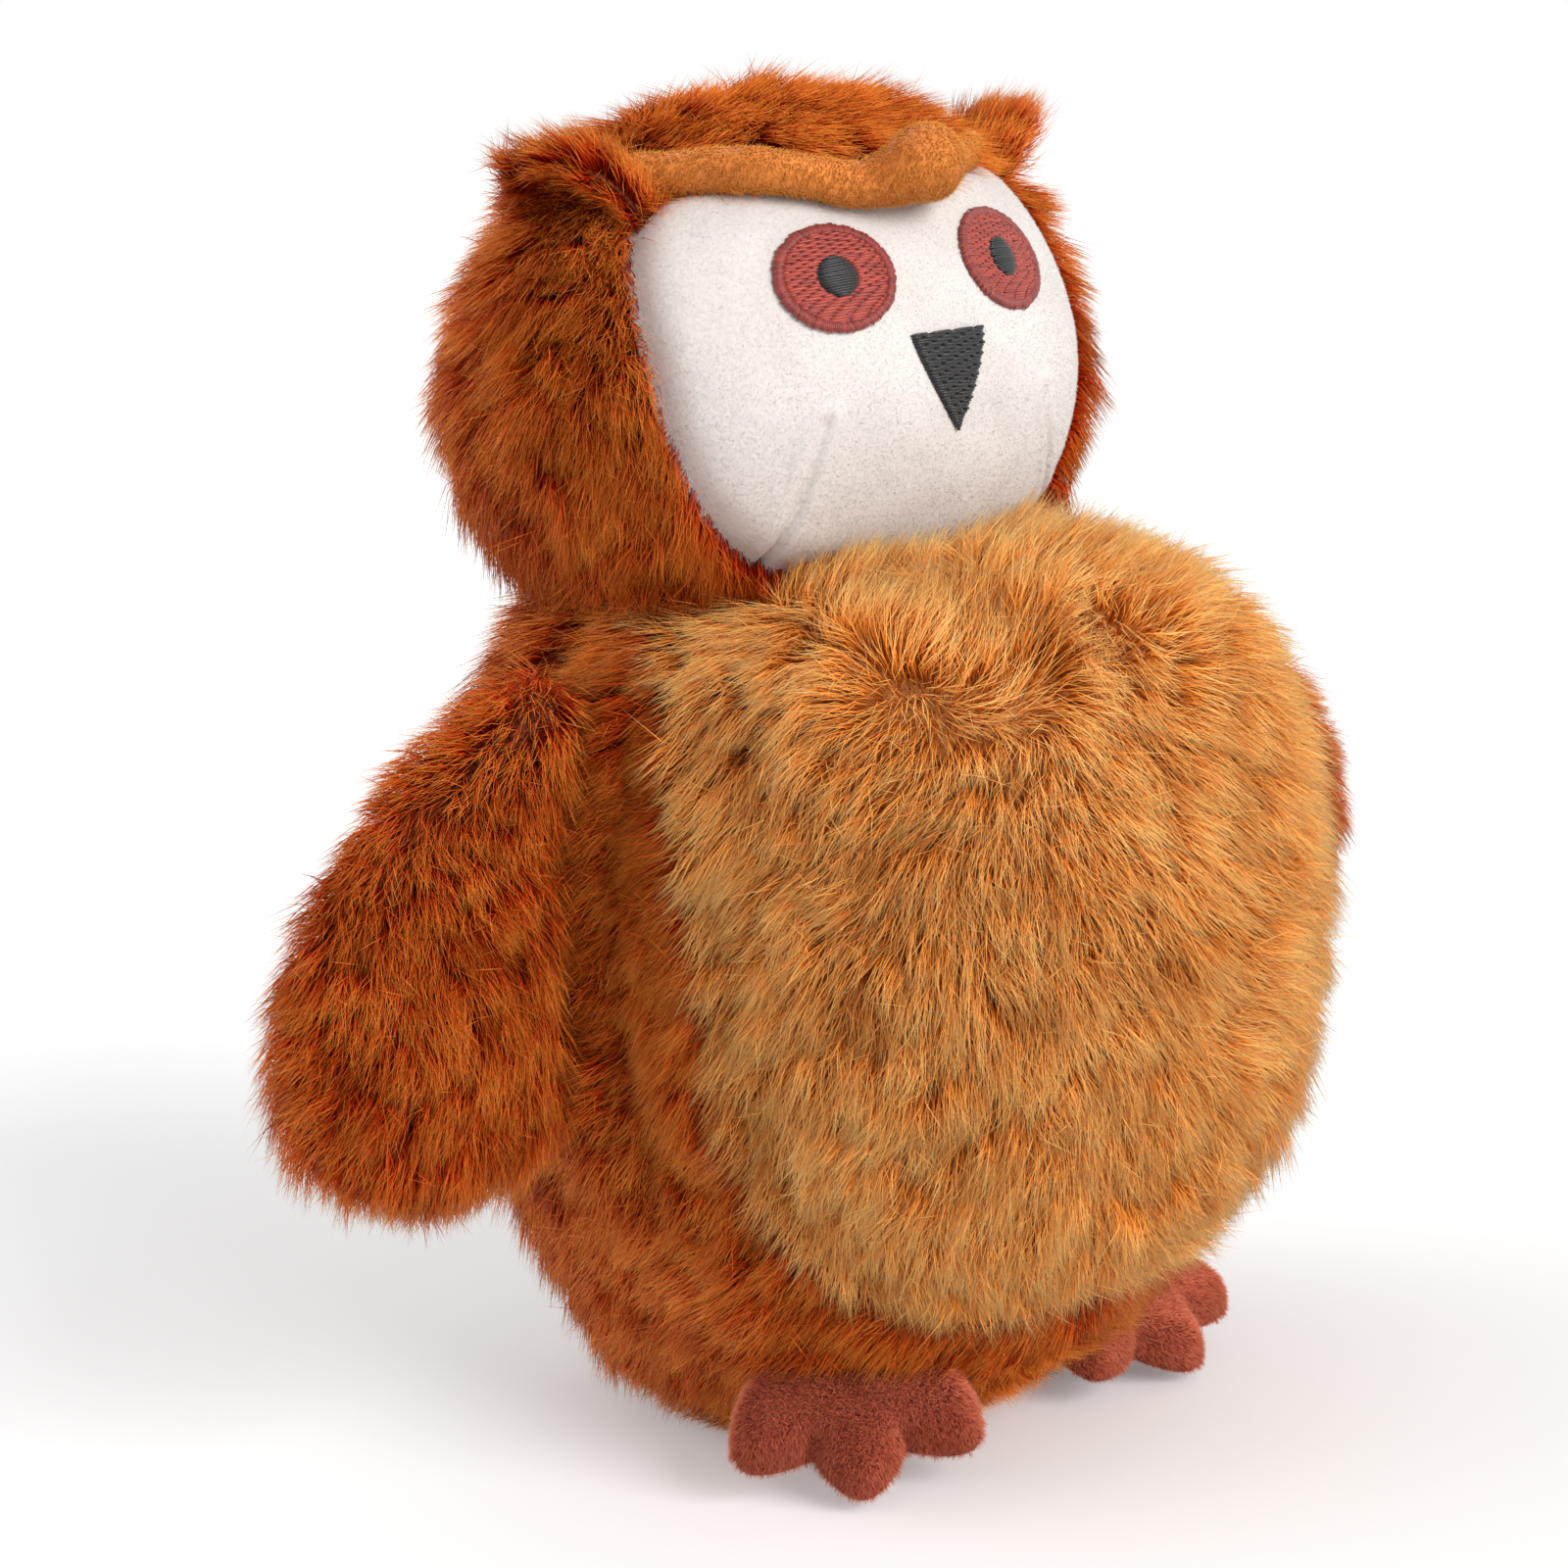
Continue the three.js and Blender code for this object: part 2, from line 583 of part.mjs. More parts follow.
// Ear tufts: half eggs of pile cloth, scooped on the outer side
function earTuft(side, name) {
  const place = (geometry) => geometry
    .rotateY(side * radians(EAR_LEAN_ANGLE))
    .translate(side * EAR_SPREAD, -EAR_FORWARD, EAR_HEIGHT);
  const flap = place(smallEgg(EAR_HALF_THICKNESS, EAR_HALF_WIDTH, EAR_HALF_HEIGHT));
  const scoop = place(smallEgg(EAR_HALF_THICKNESS, EAR_HALF_WIDTH, EAR_HALF_HEIGHT)
    .translate(side * (2 * EAR_HALF_THICKNESS - EAR_CUP_DEPTH), 0, EAR_HALF_THICKNESS));
  const ear = solidOf(flap).subtract(solidOf(scoop)).subtract(headSolid(SEAM_GAP)).subtract(besideBrow);
  headGroup.add(meshOf(`${name}_ear_tuft`, ear, brownPile));
}

earTuft(1, "left");
earTuft(-1, "right");

// Wings: each hangs from a hinge line at its shoulder seam and is cut to lie against the body
const wingStations = [
  ...WING_SWELL,
  {
    along: 0,
    width: WING_ROOT_RADIUS / WING_HALF_WIDTH,
    thickness: WING_ROOT_HALF_THICKNESS / WING_HALF_THICKNESS,
  },
];
const wingCurve = new THREE.CatmullRomCurve3(
  wingStations.map(({ along, width, thickness }) => new THREE.Vector3(width, thickness, along)));
wingCurve.curveType = "catmullrom";

function wingForm(inset, lift) {
  const widthShare = 1 - inset / WING_HALF_WIDTH;
  const thicknessShare = 1 - inset / WING_HALF_THICKNESS;
  const rings = [];
  for (let step = 0; step <= WING_RINGS; step += 1) {
    const station = wingCurve.getPoint(step / WING_RINGS);
    const ring = [];
    for (let side = 0; side < WING_SIDES; side += 1) {
      const turn = (side / WING_SIDES) * 2 * Math.PI;
      ring.push(new THREE.Vector3(
        station.x * WING_HALF_WIDTH * widthShare * Math.cos(turn),
        station.y * WING_HALF_THICKNESS * thicknessShare * Math.sin(turn),
        -station.z * (WING_LENGTH - inset)));
    }
    rings.push(ring);
  }
  const root = smallEgg(
    WING_ROOT_RADIUS * widthShare, WING_ROOT_HALF_THICKNESS * thicknessShare, WING_ROOT_RADIUS * widthShare);
  return solidOf(loft(rings).rotateY(lift)).add(solidOf(root.rotateY(lift)));
}

const frontOfWing = block(new THREE.Vector3(-FAR, -FAR, -FAR), new THREE.Vector3(FAR, -SEAM_GAP / 2, FAR));
const backOfWing = block(new THREE.Vector3(-FAR, SEAM_GAP / 2, -FAR), new THREE.Vector3(FAR, FAR, FAR));

// How far out the hinge lies for the round root to just clear the side of the body as it turns
function rootSpread() {
  const clear = WING_ROOT_RADIUS + WING_CLEARANCE;
  const spreads = [];
  for (let step = 0; step <= ROOT_STEPS; step += 1) {
    const turn = (step / ROOT_STEPS) * (Math.PI / 2);
    spreads.push(bodyHalfWidthAt(SHOULDER_HEIGHT - clear * Math.sin(turn)) + clear * Math.cos(turn));
  }
  return Math.max(...spreads);
}

const shoulderSpread = rootSpread();

function wing(side, name, raise) {
  const lift = -side * radians(WING_FOLDED_ANGLE);
  const bodyBeside = (grow) => solidOf(
    bodyForm(-grow).translate(-side * shoulderSpread, WING_FORWARD, -SHOULDER_HEIGHT));
  const cut = (inset) => wingForm(inset, lift).subtract(bodyBeside(WING_CLEARANCE + inset));
  const shell = cut(0).subtract(cut(WING_PILE));
  const group = new THREE.Group();
  group.position.set(side * shoulderSpread, -WING_FORWARD, SHOULDER_HEIGHT);
  group.rotation.y = -side * radians(raise);
  group.add(
    meshOf(`${name}_wing_front_panel`, shell.intersect(frontOfWing), brownPile),
    meshOf(`${name}_wing_back_panel`, shell.intersect(backOfWing), brownPile),
    meshOf(`${name}_wing_stuffing`, cut(WING_PILE + SEAM_GAP), fibreFill));
  return group;
}

// Feet: each turns about a hinge line at its ankle seam and is cut to clear the body over its range
function footForm(inset) {
  const floor = PAD_RAISE - SOLE_DROP;
  const pad = smallEgg(FOOT_HALF_WIDTH - inset, FOOT_HALF_LENGTH - inset, FOOT_HALF_HEIGHT - inset)
    .translate(0, FOOT_HEEL - FOOT_HALF_LENGTH, floor);
  const toes = [-TOE_FAN_ANGLE, 0, TOE_FAN_ANGLE].map((turn) => smallEgg(
    TOE_HALF_WIDTH - inset, TOE_HALF_LENGTH - inset, TOE_HALF_HEIGHT - inset)
    .translate(0, TOE_HALF_LENGTH - TOE_TIP, floor)
    .rotateZ(radians(turn)));
  return toes.reduce((joined, toe) => joined.add(solidOf(toe)), solidOf(pad));
}

function slab(low, high) {
  return block(
    new THREE.Vector3(-FAR, -FAR, low - SOLE_DROP),
    new THREE.Vector3(FAR, FAR, high - SOLE_DROP));
}

function foot(side, name, ankle, turn, slope) {
  const turnOut = side * radians(turn);
  const bodySwung = (swing) => solidOf(bodyForm(-FOOT_CLEARANCE)
    .translate(-ankle.x, -ankle.y, -ankle.z)
    .rotateZ(-turnOut)
    .rotateX(radians(swing - slope)));
  const swings = [0, FOOT_LIFT_ANGLE, -FOOT_DROOP_ANGLE];
  const clearOfBody = (solid) => swings.reduce((left, swing) => left.subtract(bodySwung(swing)), solid);
  const outside = clearOfBody(footForm(0));
  const inside = footForm(FOOT_CLOTH);
  const upper = outside.subtract(inside).intersect(slab(FOOT_CLOTH + SEAM_GAP, FAR));
  const stuffing = clearOfBody(footForm(FOOT_CLOTH + SEAM_GAP)).intersect(slab(FOOT_CLOTH + SEAM_GAP, FAR));
  const group = new THREE.Group();
  group.position.copy(ankle);
  group.rotation.set(radians(slope), 0, turnOut, "ZYX");
  group.add(
    meshOf(`${name}_foot_upper`, upper, maroonVelboa),
    meshOf(`${name}_foot_sole`, outside.intersect(slab(0, FOOT_CLOTH)), maroonVelboa),
    meshOf(`${name}_foot_stuffing`, stuffing, fibreFill));
  return group;
}

const owl = new THREE.Group();
owl.add(bodyGroup, headGroup);
owl.add(wing(1, "left", LEFT_WING_ANGLE), wing(-1, "right", RIGHT_WING_ANGLE));
const leftAnkle = new THREE.Vector3(LEFT_ANKLE_SPREAD, -LEFT_ANKLE_FORWARD, LEFT_ANKLE_HEIGHT);
const rightAnkle = new THREE.Vector3(-RIGHT_ANKLE_SPREAD, -RIGHT_ANKLE_FORWARD, RIGHT_ANKLE_HEIGHT);
owl.add(
  foot(1, "left", leftAnkle, LEFT_FOOT_TURN_ANGLE, LEFT_FOOT_SLOPE_ANGLE),
  foot(-1, "right", rightAnkle, RIGHT_FOOT_TURN_ANGLE, RIGHT_FOOT_SLOPE_ANGLE));

export default owl;
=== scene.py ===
import math

import bpy
import numpy as np
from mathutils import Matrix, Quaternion, Vector, kdtree, noise


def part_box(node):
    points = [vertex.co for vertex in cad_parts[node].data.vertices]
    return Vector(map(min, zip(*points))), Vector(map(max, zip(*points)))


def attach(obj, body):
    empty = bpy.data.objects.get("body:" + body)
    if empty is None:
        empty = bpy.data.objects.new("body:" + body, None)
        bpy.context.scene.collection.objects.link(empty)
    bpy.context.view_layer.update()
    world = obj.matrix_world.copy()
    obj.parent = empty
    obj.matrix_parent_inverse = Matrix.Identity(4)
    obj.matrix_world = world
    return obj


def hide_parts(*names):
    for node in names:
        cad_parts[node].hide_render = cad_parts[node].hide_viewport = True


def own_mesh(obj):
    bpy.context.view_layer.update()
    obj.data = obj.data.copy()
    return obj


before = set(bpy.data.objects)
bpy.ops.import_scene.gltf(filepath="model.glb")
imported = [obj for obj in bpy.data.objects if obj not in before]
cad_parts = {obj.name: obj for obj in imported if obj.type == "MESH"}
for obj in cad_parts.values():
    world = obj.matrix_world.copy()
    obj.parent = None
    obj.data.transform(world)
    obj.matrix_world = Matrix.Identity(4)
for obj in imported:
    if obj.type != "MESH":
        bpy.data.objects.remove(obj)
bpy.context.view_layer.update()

# Squeaker: a soft blown bulb with a reed plug pressed into its mouth and a thin reed in the plug.
# All three are milky polyethylene, turned or stamped, and they lie in a pocket in the stuffing.
SQUEAKER_FORWARD, SQUEAKER_HEIGHT = 30.0, 82.0
BULB_RADIUS, BULB_HALF_LENGTH, BULB_WALL, BULB_STEPS = 21.0, 13.0, 1.2, 28
MOUTH_RADIUS, PLUG_RADIUS, PLUG_BORE, PLUG_LENGTH, PLUG_FLANGE, PLUG_PROUD = 6.0, 4.4, 2.6, 10.0, 1.5, 0.3
REED_HALF_WIDTH, REED_LENGTH, REED_HALF_THICKNESS, REED_CURL, REED_STEPS = 2.2, 8.0, 0.25, 0.12, 9


def linear(red, green, blue):
    """A colour as it is seen, from 0 to 255, as the light values that a shader takes."""
    seen = np.array([red, green, blue]) / 255
    light = np.where(seen <= 0.04045, seen / 12.92, ((seen + 0.055) / 1.055) ** 2.4)
    return (*light, 1.0)


def new_finish(name, roughness, sheen=0.0):
    """A bare material with its shader, ready for its colour nodes."""
    finish = bpy.data.materials.new(name)
    finish.use_nodes = True
    shader = finish.node_tree.nodes["Principled BSDF"]
    shader.inputs["Roughness"].default_value = roughness
    shader.inputs["Sheen Weight"].default_value = sheen
    return finish, finish.node_tree.nodes, finish.node_tree.links, shader


def grain(nodes, links, scale, detail=3.0):
    """Noise in the piece's own metres, so that its scale is that of the real cloth or plastic."""
    place = nodes.new("ShaderNodeTexCoord")
    speckle = nodes.new("ShaderNodeTexNoise")
    speckle.inputs["Scale"].default_value = scale
    speckle.inputs["Detail"].default_value = detail
    links.new(place.outputs["Object"], speckle.inputs["Vector"])
    return speckle


def tinted(nodes, links, factor, stops):
    """A ramp of colours over a factor, joined to nothing yet."""
    ramp = nodes.new("ShaderNodeValToRGB")
    ramp.color_ramp.elements[0].position, ramp.color_ramp.elements[0].color = stops[0]
    ramp.color_ramp.elements[1].position, ramp.color_ramp.elements[1].color = stops[-1]
    for place, colour in stops[1:-1]:
        ramp.color_ramp.elements.new(place).color = colour
    links.new(factor, ramp.inputs["Fac"])
    return ramp


def roughened(nodes, links, shader, height, strength, distance):
    """Raises a surface finely by a height."""
    bump = nodes.new("ShaderNodeBump")
    bump.inputs["Strength"].default_value = strength
    bump.inputs["Distance"].default_value = distance
    links.new(height, bump.inputs["Height"])
    links.new(bump.outputs["Normal"], shader.inputs["Normal"])


def speckled_finish(name, roughness, scale, tones, strength, distance, detail=3.0, sheen=0.0):
    """Two tones in fine noise, which roughens the surface too."""
    finish, nodes, links, shader = new_finish(name, roughness, sheen)
    speckle = grain(nodes, links, scale, detail)
    tone = tinted(nodes, links, speckle.outputs["Fac"], tones)
    links.new(tone.outputs["Color"], shader.inputs["Base Color"])
    roughened(nodes, links, shader, speckle.outputs["Fac"], strength, distance)
    return finish


def make_piece(name, points, faces, finish):
    """A smooth mesh from points in millimetres and faces of equal corner count."""
    faces = np.asarray(faces, np.int32)
    mesh = bpy.data.meshes.new(name)
    mesh.vertices.add(len(points))
    mesh.vertices.foreach_set("co", (np.asarray(points, np.float32) * 0.001).ravel())
    mesh.loops.add(faces.size)
    mesh.loops.foreach_set("vertex_index", faces.ravel())
    mesh.polygons.add(len(faces))
    mesh.polygons.foreach_set("loop_start", np.arange(len(faces), dtype=np.int32) * faces.shape[1])
    mesh.polygons.foreach_set("use_smooth", np.ones(len(faces), bool))
    mesh.update(calc_edges=True)
    mesh.materials.append(finish)
    piece = bpy.data.objects.new(name, mesh)
    bpy.context.scene.collection.objects.link(piece)
    return piece


def fit(piece, body, node):
    """Sets a piece on its body in place of a CAD node."""
    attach(piece, body)
    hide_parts(node)


def ring_faces(rings, sides, closed_rings=False):
    """Triangles between rings of points, each ring joined to itself, and the last to the first if closed."""
    ring = np.arange(rings if closed_rings else rings - 1)[:, None]
    side = np.arange(sides)[None, :]
    here = ring * sides + side
    beside = ring * sides + (side + 1) % sides
    above = (ring + 1) % rings * sides + side
    across = (ring + 1) % rings * sides + (side + 1) % sides
    lower = np.stack([here, beside, across], -1).reshape(-1, 3)
    upper = np.stack([here, across, above], -1).reshape(-1, 3)
    return np.vstack([lower, upper])


def turn_profile(profile, sides=64):
    """A closed profile of radius and reach, turned about the squeaker's own axis along Y."""
    turn = np.linspace(0, 2 * np.pi, sides, endpoint=False)
    radius, reach = np.array(profile, float).T
    points = np.stack([
        np.outer(radius, np.cos(turn)),
        np.repeat(reach[:, None] - SQUEAKER_FORWARD, sides, 1),
        np.outer(radius, np.sin(turn)) + SQUEAKER_HEIGHT], -1)
    return points.reshape(-1, 3), ring_faces(len(radius), sides, closed_rings=True)[:, ::-1]


milky = speckled_finish(
    "milky_plastic", roughness=0.42, scale=90.0, strength=0.15, distance=0.0004,
    tones=[(0.3, linear(222, 217, 204)), (0.7, linear(238, 235, 226))])
mouth_turn = math.acos(MOUTH_RADIUS / BULB_RADIUS)
swing = np.linspace(-np.pi / 2 + 0.02, mouth_turn, BULB_STEPS)
outside = np.stack([BULB_RADIUS * np.cos(swing), BULB_HALF_LENGTH * np.sin(swing)], 1)
shrink = np.array([(BULB_RADIUS - BULB_WALL) / BULB_RADIUS, (BULB_HALF_LENGTH - BULB_WALL) / BULB_HALF_LENGTH])
bulb = make_piece("squeaker_bulb_blown", *turn_profile(np.vstack([outside, outside[::-1] * shrink])), milky)

plug_seat = outside[-1, 1] + PLUG_PROUD
plug = make_piece("squeaker_plug_turned", *turn_profile([
    (PLUG_BORE, plug_seat - PLUG_LENGTH), (PLUG_RADIUS, plug_seat - PLUG_LENGTH), (PLUG_RADIUS, plug_seat),
    (MOUTH_RADIUS, plug_seat), (MOUTH_RADIUS, plug_seat + PLUG_FLANGE), (PLUG_BORE, plug_seat + PLUG_FLANGE)]), milky)

reed_end = plug_seat + PLUG_FLANGE - SQUEAKER_FORWARD
reed_reach = np.linspace(reed_end - REED_LENGTH, reed_end, REED_STEPS)
reed_curl = REED_CURL * np.linspace(-1, 1, REED_STEPS) ** 2
reed_edges = [(-REED_HALF_WIDTH, -REED_HALF_THICKNESS), (REED_HALF_WIDTH, -REED_HALF_THICKNESS),
              (REED_HALF_WIDTH, REED_HALF_THICKNESS), (-REED_HALF_WIDTH, REED_HALF_THICKNESS)]
reed_points = [(across, reach, SQUEAKER_HEIGHT + curl + up)
               for reach, curl in zip(reed_reach, reed_curl) for across, up in reed_edges]
far = 4 * (REED_STEPS - 1)
reed_faces = np.vstack([
    ring_faces(REED_STEPS, 4), [[0, 2, 1], [0, 3, 2], [far, far + 1, far + 2], [far, far + 2, far + 3]]])
reed = make_piece("squeaker_reed_strip", np.array(reed_points), reed_faces, milky)

for piece, node in [(bulb, "squeaker_bulb"), (plug, "squeaker_reed_plug"), (reed, "squeaker_reed")]:
    fit(piece, "torso", node)
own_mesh(bulb)

# Stuffing: loose white polyester fibre, pushed in by hand in wads that fill the sewn covers.
# The body has two wads with the squeaker between them.
FIBRE_VOXEL, VOXEL_PER_METRE = 2.4, 160
LUMP_HEIGHT, COARSE_LUMPS, FINE_LUMPS = 0.3, 160, 420
BODY_WAD_DRAWN, BODY_WAD_SHARE, PRESSED_FROM = 0.8, 0.89, -0.0305


def wad(node, body, draw_in=0.5, shrink=1.0):
    """A fibre wad in the space that a stuffing solid takes up, drawn in and lumpy like pulled fibre."""
    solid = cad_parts[node]
    shape = bpy.data.objects.new(node + "_shape", solid.data.copy())
    bpy.context.scene.collection.objects.link(shape)
    remesh = shape.modifiers.new("fibre", "REMESH")
    remesh.mode = "VOXEL"
    remesh.voxel_size = min(FIBRE_VOXEL, min(solid.dimensions) * VOXEL_PER_METRE) / 1000
    smooth = shape.modifiers.new("soft", "SMOOTH")
    smooth.iterations = 4
    mesh = bpy.data.meshes.new_from_object(shape.evaluated_get(bpy.context.evaluated_depsgraph_get()))
    bpy.data.objects.remove(shape)
    low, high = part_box(node)
    middle = (Vector(low) + Vector(high)) / 2
    for vertex in mesh.vertices:
        vertex.co = middle + (vertex.co - middle) * shrink
        lump = noise.noise(vertex.co * COARSE_LUMPS) + 0.5 * noise.noise(vertex.co * FINE_LUMPS)
        vertex.co -= vertex.normal * (draw_in + LUMP_HEIGHT * lump) / 1000
    mesh.materials.clear()
    mesh.materials.append(fibre)
    mesh.polygons.foreach_set("use_smooth", np.ones(len(mesh.polygons), bool))
    piece = bpy.data.objects.new(node + "_wad", mesh)
    bpy.context.scene.collection.objects.link(piece)
    fit(piece, body, node)
    return piece


fibre = speckled_finish(
    "polyester_fibre", roughness=0.95, scale=700.0, strength=0.6, distance=0.001, detail=6.0, sheen=0.3,
    tones=[(0.3, linear(214, 212, 205)), (0.7, linear(246, 245, 240))])
wad("body_stuffing_back", "torso", BODY_WAD_DRAWN, BODY_WAD_SHARE)
front_wad = wad("body_stuffing_front", "torso", BODY_WAD_DRAWN, BODY_WAD_SHARE)
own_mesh(front_wad)

# Body: a bag of long-pile plush, two brown sides joined down the back, a tan belly and a brown oval base.
# Each panel is a knitted backing with its pile growing out of it, sewn right sides together and turned,
# so the seams lie in soft grooves that the pile closes over.
BODY_HEIGHT, BODY_HALF_WIDTH, CHEST_REACH, BACK_REACH, BODY_SQUARENESS = 161.0, 72.0, 102.0, 57.0, 2.2
BODY_RINGS, BODY_SIDES = 121, 160
BODY_SWELL = np.array([
    (0, 0.48, 0.32, 0.66), (0.05, 0.64, 0.46, 0.82), (0.175, 0.79, 0.71, 0.96), (0.36, 0.94, 0.93, 1),
    (0.55, 1, 1, 1), (0.72, 0.97, 1, 0.95), (0.845, 0.86, 0.96, 0.86), (0.92, 0.73, 0.89, 0.73),
    (0.97, 0.58, 0.77, 0.56), (1, 0.36, 0.56, 0.34)])
BELLY_OUTLINE = [(0, 167), (39, 155), (57.5, 133), (63.5, 98), (57, 58), (35, 31.5), (0, 29)]
BELLY_LAP, BELLY_BACK, BELLY_SPLIT = 2.5, 8, 100
BASE_HALF_WIDTH, BASE_HALF_LENGTH, BASE_MIDDLE, BASE_RISE = 30.6, 31.1, 2.5, 12
BASE_FLATTENED, BASE_FLAT_BELOW, BASE_FLAT_PAST = 4.5, 9, 6
SIDE_SPLIT, SIDE_MIDDLE = 80, -5
HEAD_CENTRE = np.array([0, 2.0, 183.5])
HEAD_HALF_WIDTH, HEAD_RADIUS, HEAD_CROWN, HEAD_TILT = 62.0, 52.5, 53.0, math.radians(16)
PILE_DEPTH, SEAM_PULL, SEAM_SPREAD, BACKING, BODY_LUMPS = 6.8, 4.6, 5.5, 0.8, 0.9
WING_CREASE, CREASE_FORWARD, CREASE_SPREAD, CREASE_OUT = 4.6, 27, 5.5, 40
CREASE_LOW, CREASE_HIGH, CREASE_FADE = 48, 140, 14
BELLY_PARTING, PARTING_MIDDLE, PARTING_SIZE = np.array([-26.0, 131.0]), [4, 12], [30, 18]
TANGLE, TANGLE_SIZE = 1.3, 15
BELLY_PILE, SIDE_PILE, PILE_LIFT, NECK_EDGE, SEAM_GAP = 12.5, 12.0, 48, 0.985, 0.15
BASE_PILE, BASE_LIFT, NECK_EASE = 4.0, 12.0, 1.5

# The comb runs out and down from the parting on the belly, down and back on the flanks, and outwards below.
BELLY_OUT, BELLY_RIM, BELLY_OUT_RUN = 0.6, 22, 30
BELLY_UP, BELLY_UP_RUN, BELLY_DOWN = 1.15, 18, 0.7
FLANK_RUN, FLANK_LEAST, FLANK_BACK = 40, 0.25, 0.8
UNDER_GAIN, UNDER_FROM, BODY_STRAY, STRAY_BROAD, STRAY_FINE = 1.6, 0.7, 0.65, 26, 11
SHORT_BELOW, SHORTEST, WING_RUBBED = 30, 0.5, 0.35
SLACK_COMB, SLACK_LIFT, PARTING_LIFT = 0.3, 30, 8
# Painted light brightens the belly's parting and the front of each flank.
# Painted shade darkens the seam valley beside the belly.
VALLEY_SPREAD, VALLEY_PAINTED_SHADE, PAINTED_LIGHT_TONE, FRONT_FROM, FRONT_RUN = 4.0, 0.2, 0.5, 5, 30

# The fibres of a tuft stray together, each strays a little by itself, and a loose one strays most.
LOOSE_SHARE, LOOSE_TURN, LOOSE_LIFT = 0.1, 0.7, 0.2
TUFT_TURN, TUFT_LENGTH, TUFT_LIFT, TUFT_TONE = 0.14, 0.13, 0.1, 0.14
FIBRE_TURN, FIBRE_LENGTH, FIBRE_LIFT, FIBRE_TONE, PATCH_TONE = 0.16, (0.7, 1.12), 0.12, 0.2, 0.24
ROOT_SUNK, ROOT_BEND, TIP_BEND, BEND_LIMITS = 0.5, 1.2, 0.55, (0.02, 1.5)
GATHERED, GATHERED_ALONG = (0.5, 1.2), np.array([0, 0.35, 1.0])
MIDDLE_WAVE, TIP_WAVE, TIP_RISE, FLOOR_SPREAD = 0.35, 0.9, 0.5, 0.5
GIRTHS, ROOT_HALF, MIDDLE_HALF = (0.75, 1.2), 0.5, 0.42
SWATCH_LEFT, SWATCH_LOW, SWATCH_SPAN = 0.02, 0.03, 0.94

# Root colours are painted shade deep in the pile and tip colours a painted highlight; the middles are the fibre's own
# colour.
BROWN_ROOT_SHADE, BROWN_MID, BROWN_TIP_HIGHLIGHT = linear(92, 9, 0), linear(187, 40, 4), linear(244, 148, 56)
TAN_ROOT_SHADE, TAN_MID, TAN_TIP_HIGHLIGHT = linear(178, 76, 12), linear(250, 146, 50), linear(252, 211, 132)

# A skin is kept as rows of numbers, one row a point, and these are the columns that the pile needs.
PLACE, NORMAL, COMB, LENGTH, LIFT, PATCH = slice(0, 3), slice(3, 6), slice(6, 9), 9, 10, 11
BELLY_FIELD, BASE_FIELD, HEAD_RATIO = 12, 13, 14


def eased(a, b, c, d, part):
    """A smooth curve between b and c, with a before it and d after it."""
    return 0.5 * (2 * b + (c - a) * part + (2 * a - 5 * b + 4 * c - d) * part**2 + (3 * b - a - 3 * c + d) * part**3)


def along(stations, share):
    """A smooth run through stations set evenly along it."""
    last = len(stations) - 1
    place = np.clip(share, 0, 1) * last
    step = np.minimum(place.astype(int), last - 1)
    ends = [2 * stations[0] - stations[1]], stations, [2 * stations[-1] - stations[-2]]
    return eased(*(np.vstack(ends)[step + k] for k in range(4)), (place - step)[:, None])


def closed_outline(half, count=160):
    """A smooth closed outline from the points of its right half, top to bottom."""
    whole = np.array(half + [(-x, z) for x, z in half[-2:0:-1]], float)
    looped = np.vstack([whole[-1:], whole, whole[:2]])
    place = np.linspace(0, len(whole), count, endpoint=False)
    step = place.astype(int)
    return eased(*(looped[step + k] for k in range(4)), (place - step)[:, None])


def outline_gap(flat, outline):
    """How far points of the front view lie outside an outline, below 0 inside it."""
    start, end = outline, np.roll(outline, -1, 0)
    run = end - start
    away = flat[:, None, :] - start[None]
    share = np.clip((away * run).sum(-1) / (run**2).sum(-1), 0, 1)
    gap = np.linalg.norm(away - share[..., None] * run, axis=-1).min(1)
    spans = (start[:, 1] > flat[:, 1:]) != (end[:, 1] > flat[:, 1:])
    rise = np.where(np.abs(run[:, 1]) < 1e-9, 1e-9, run[:, 1])
    crossing = start[:, 0] + (flat[:, 1:] - start[:, 1]) * run[:, 0] / rise
    inside = (spans & (flat[:, :1] < crossing)).sum(1) % 2 == 1
    return np.where(inside, -gap, gap)


def capped_faces(rings, sides):
    """Faces of a tube of rings whose two ends are closed by a hub point each, the last two points."""
    side = np.arange(sides)
    beside = (side + 1) % sides
    last, hub = (rings - 1) * sides, rings * sides
    return np.vstack([
        ring_faces(rings, sides), np.stack([np.full(sides, hub), beside, side], 1),
        np.stack([np.full(sides, hub + 1), last + side, last + beside], 1)])


def face_normals(points, faces):
    """The normal of each face, as long as twice its area."""
    a, b, c = (points[faces[:, k]] for k in range(3))
    return np.cross(b - a, c - a)


def unit(vectors):
    """Vectors brought to a length of 1."""
    return vectors / np.maximum(np.linalg.norm(vectors, axis=-1, keepdims=True), 1e-9)


def outward(points, faces):
    """Unit normals at the points of a skin."""
    total = np.zeros_like(points)
    square = face_normals(points, faces)
    for k in range(3):
        np.add.at(total, faces[:, k], square)
    return unit(total)


def about(axis, angle):
    """A turn about axis 0, 1 or 2 of the frame."""
    turn = np.eye(3)
    a, b = (axis + 1) % 3, (axis + 2) % 3
    turn[a, a] = turn[b, b] = math.cos(angle)
    turn[a, b], turn[b, a] = -math.sin(angle), math.sin(angle)
    return turn


def lumps(points, size, seed):
    """Smooth noise about -1 to 1 with features of a size in millimetres."""
    return np.array([noise.noise(Vector(p / size) + Vector((seed, 3.7 * seed, 1.3))) for p in points])


def mottle(points, size, seed):
    """The light and dark patches of a pile, with finer ones in them."""
    return lumps(points, size, seed) + 0.5 * lumps(points, 5, seed + 1)


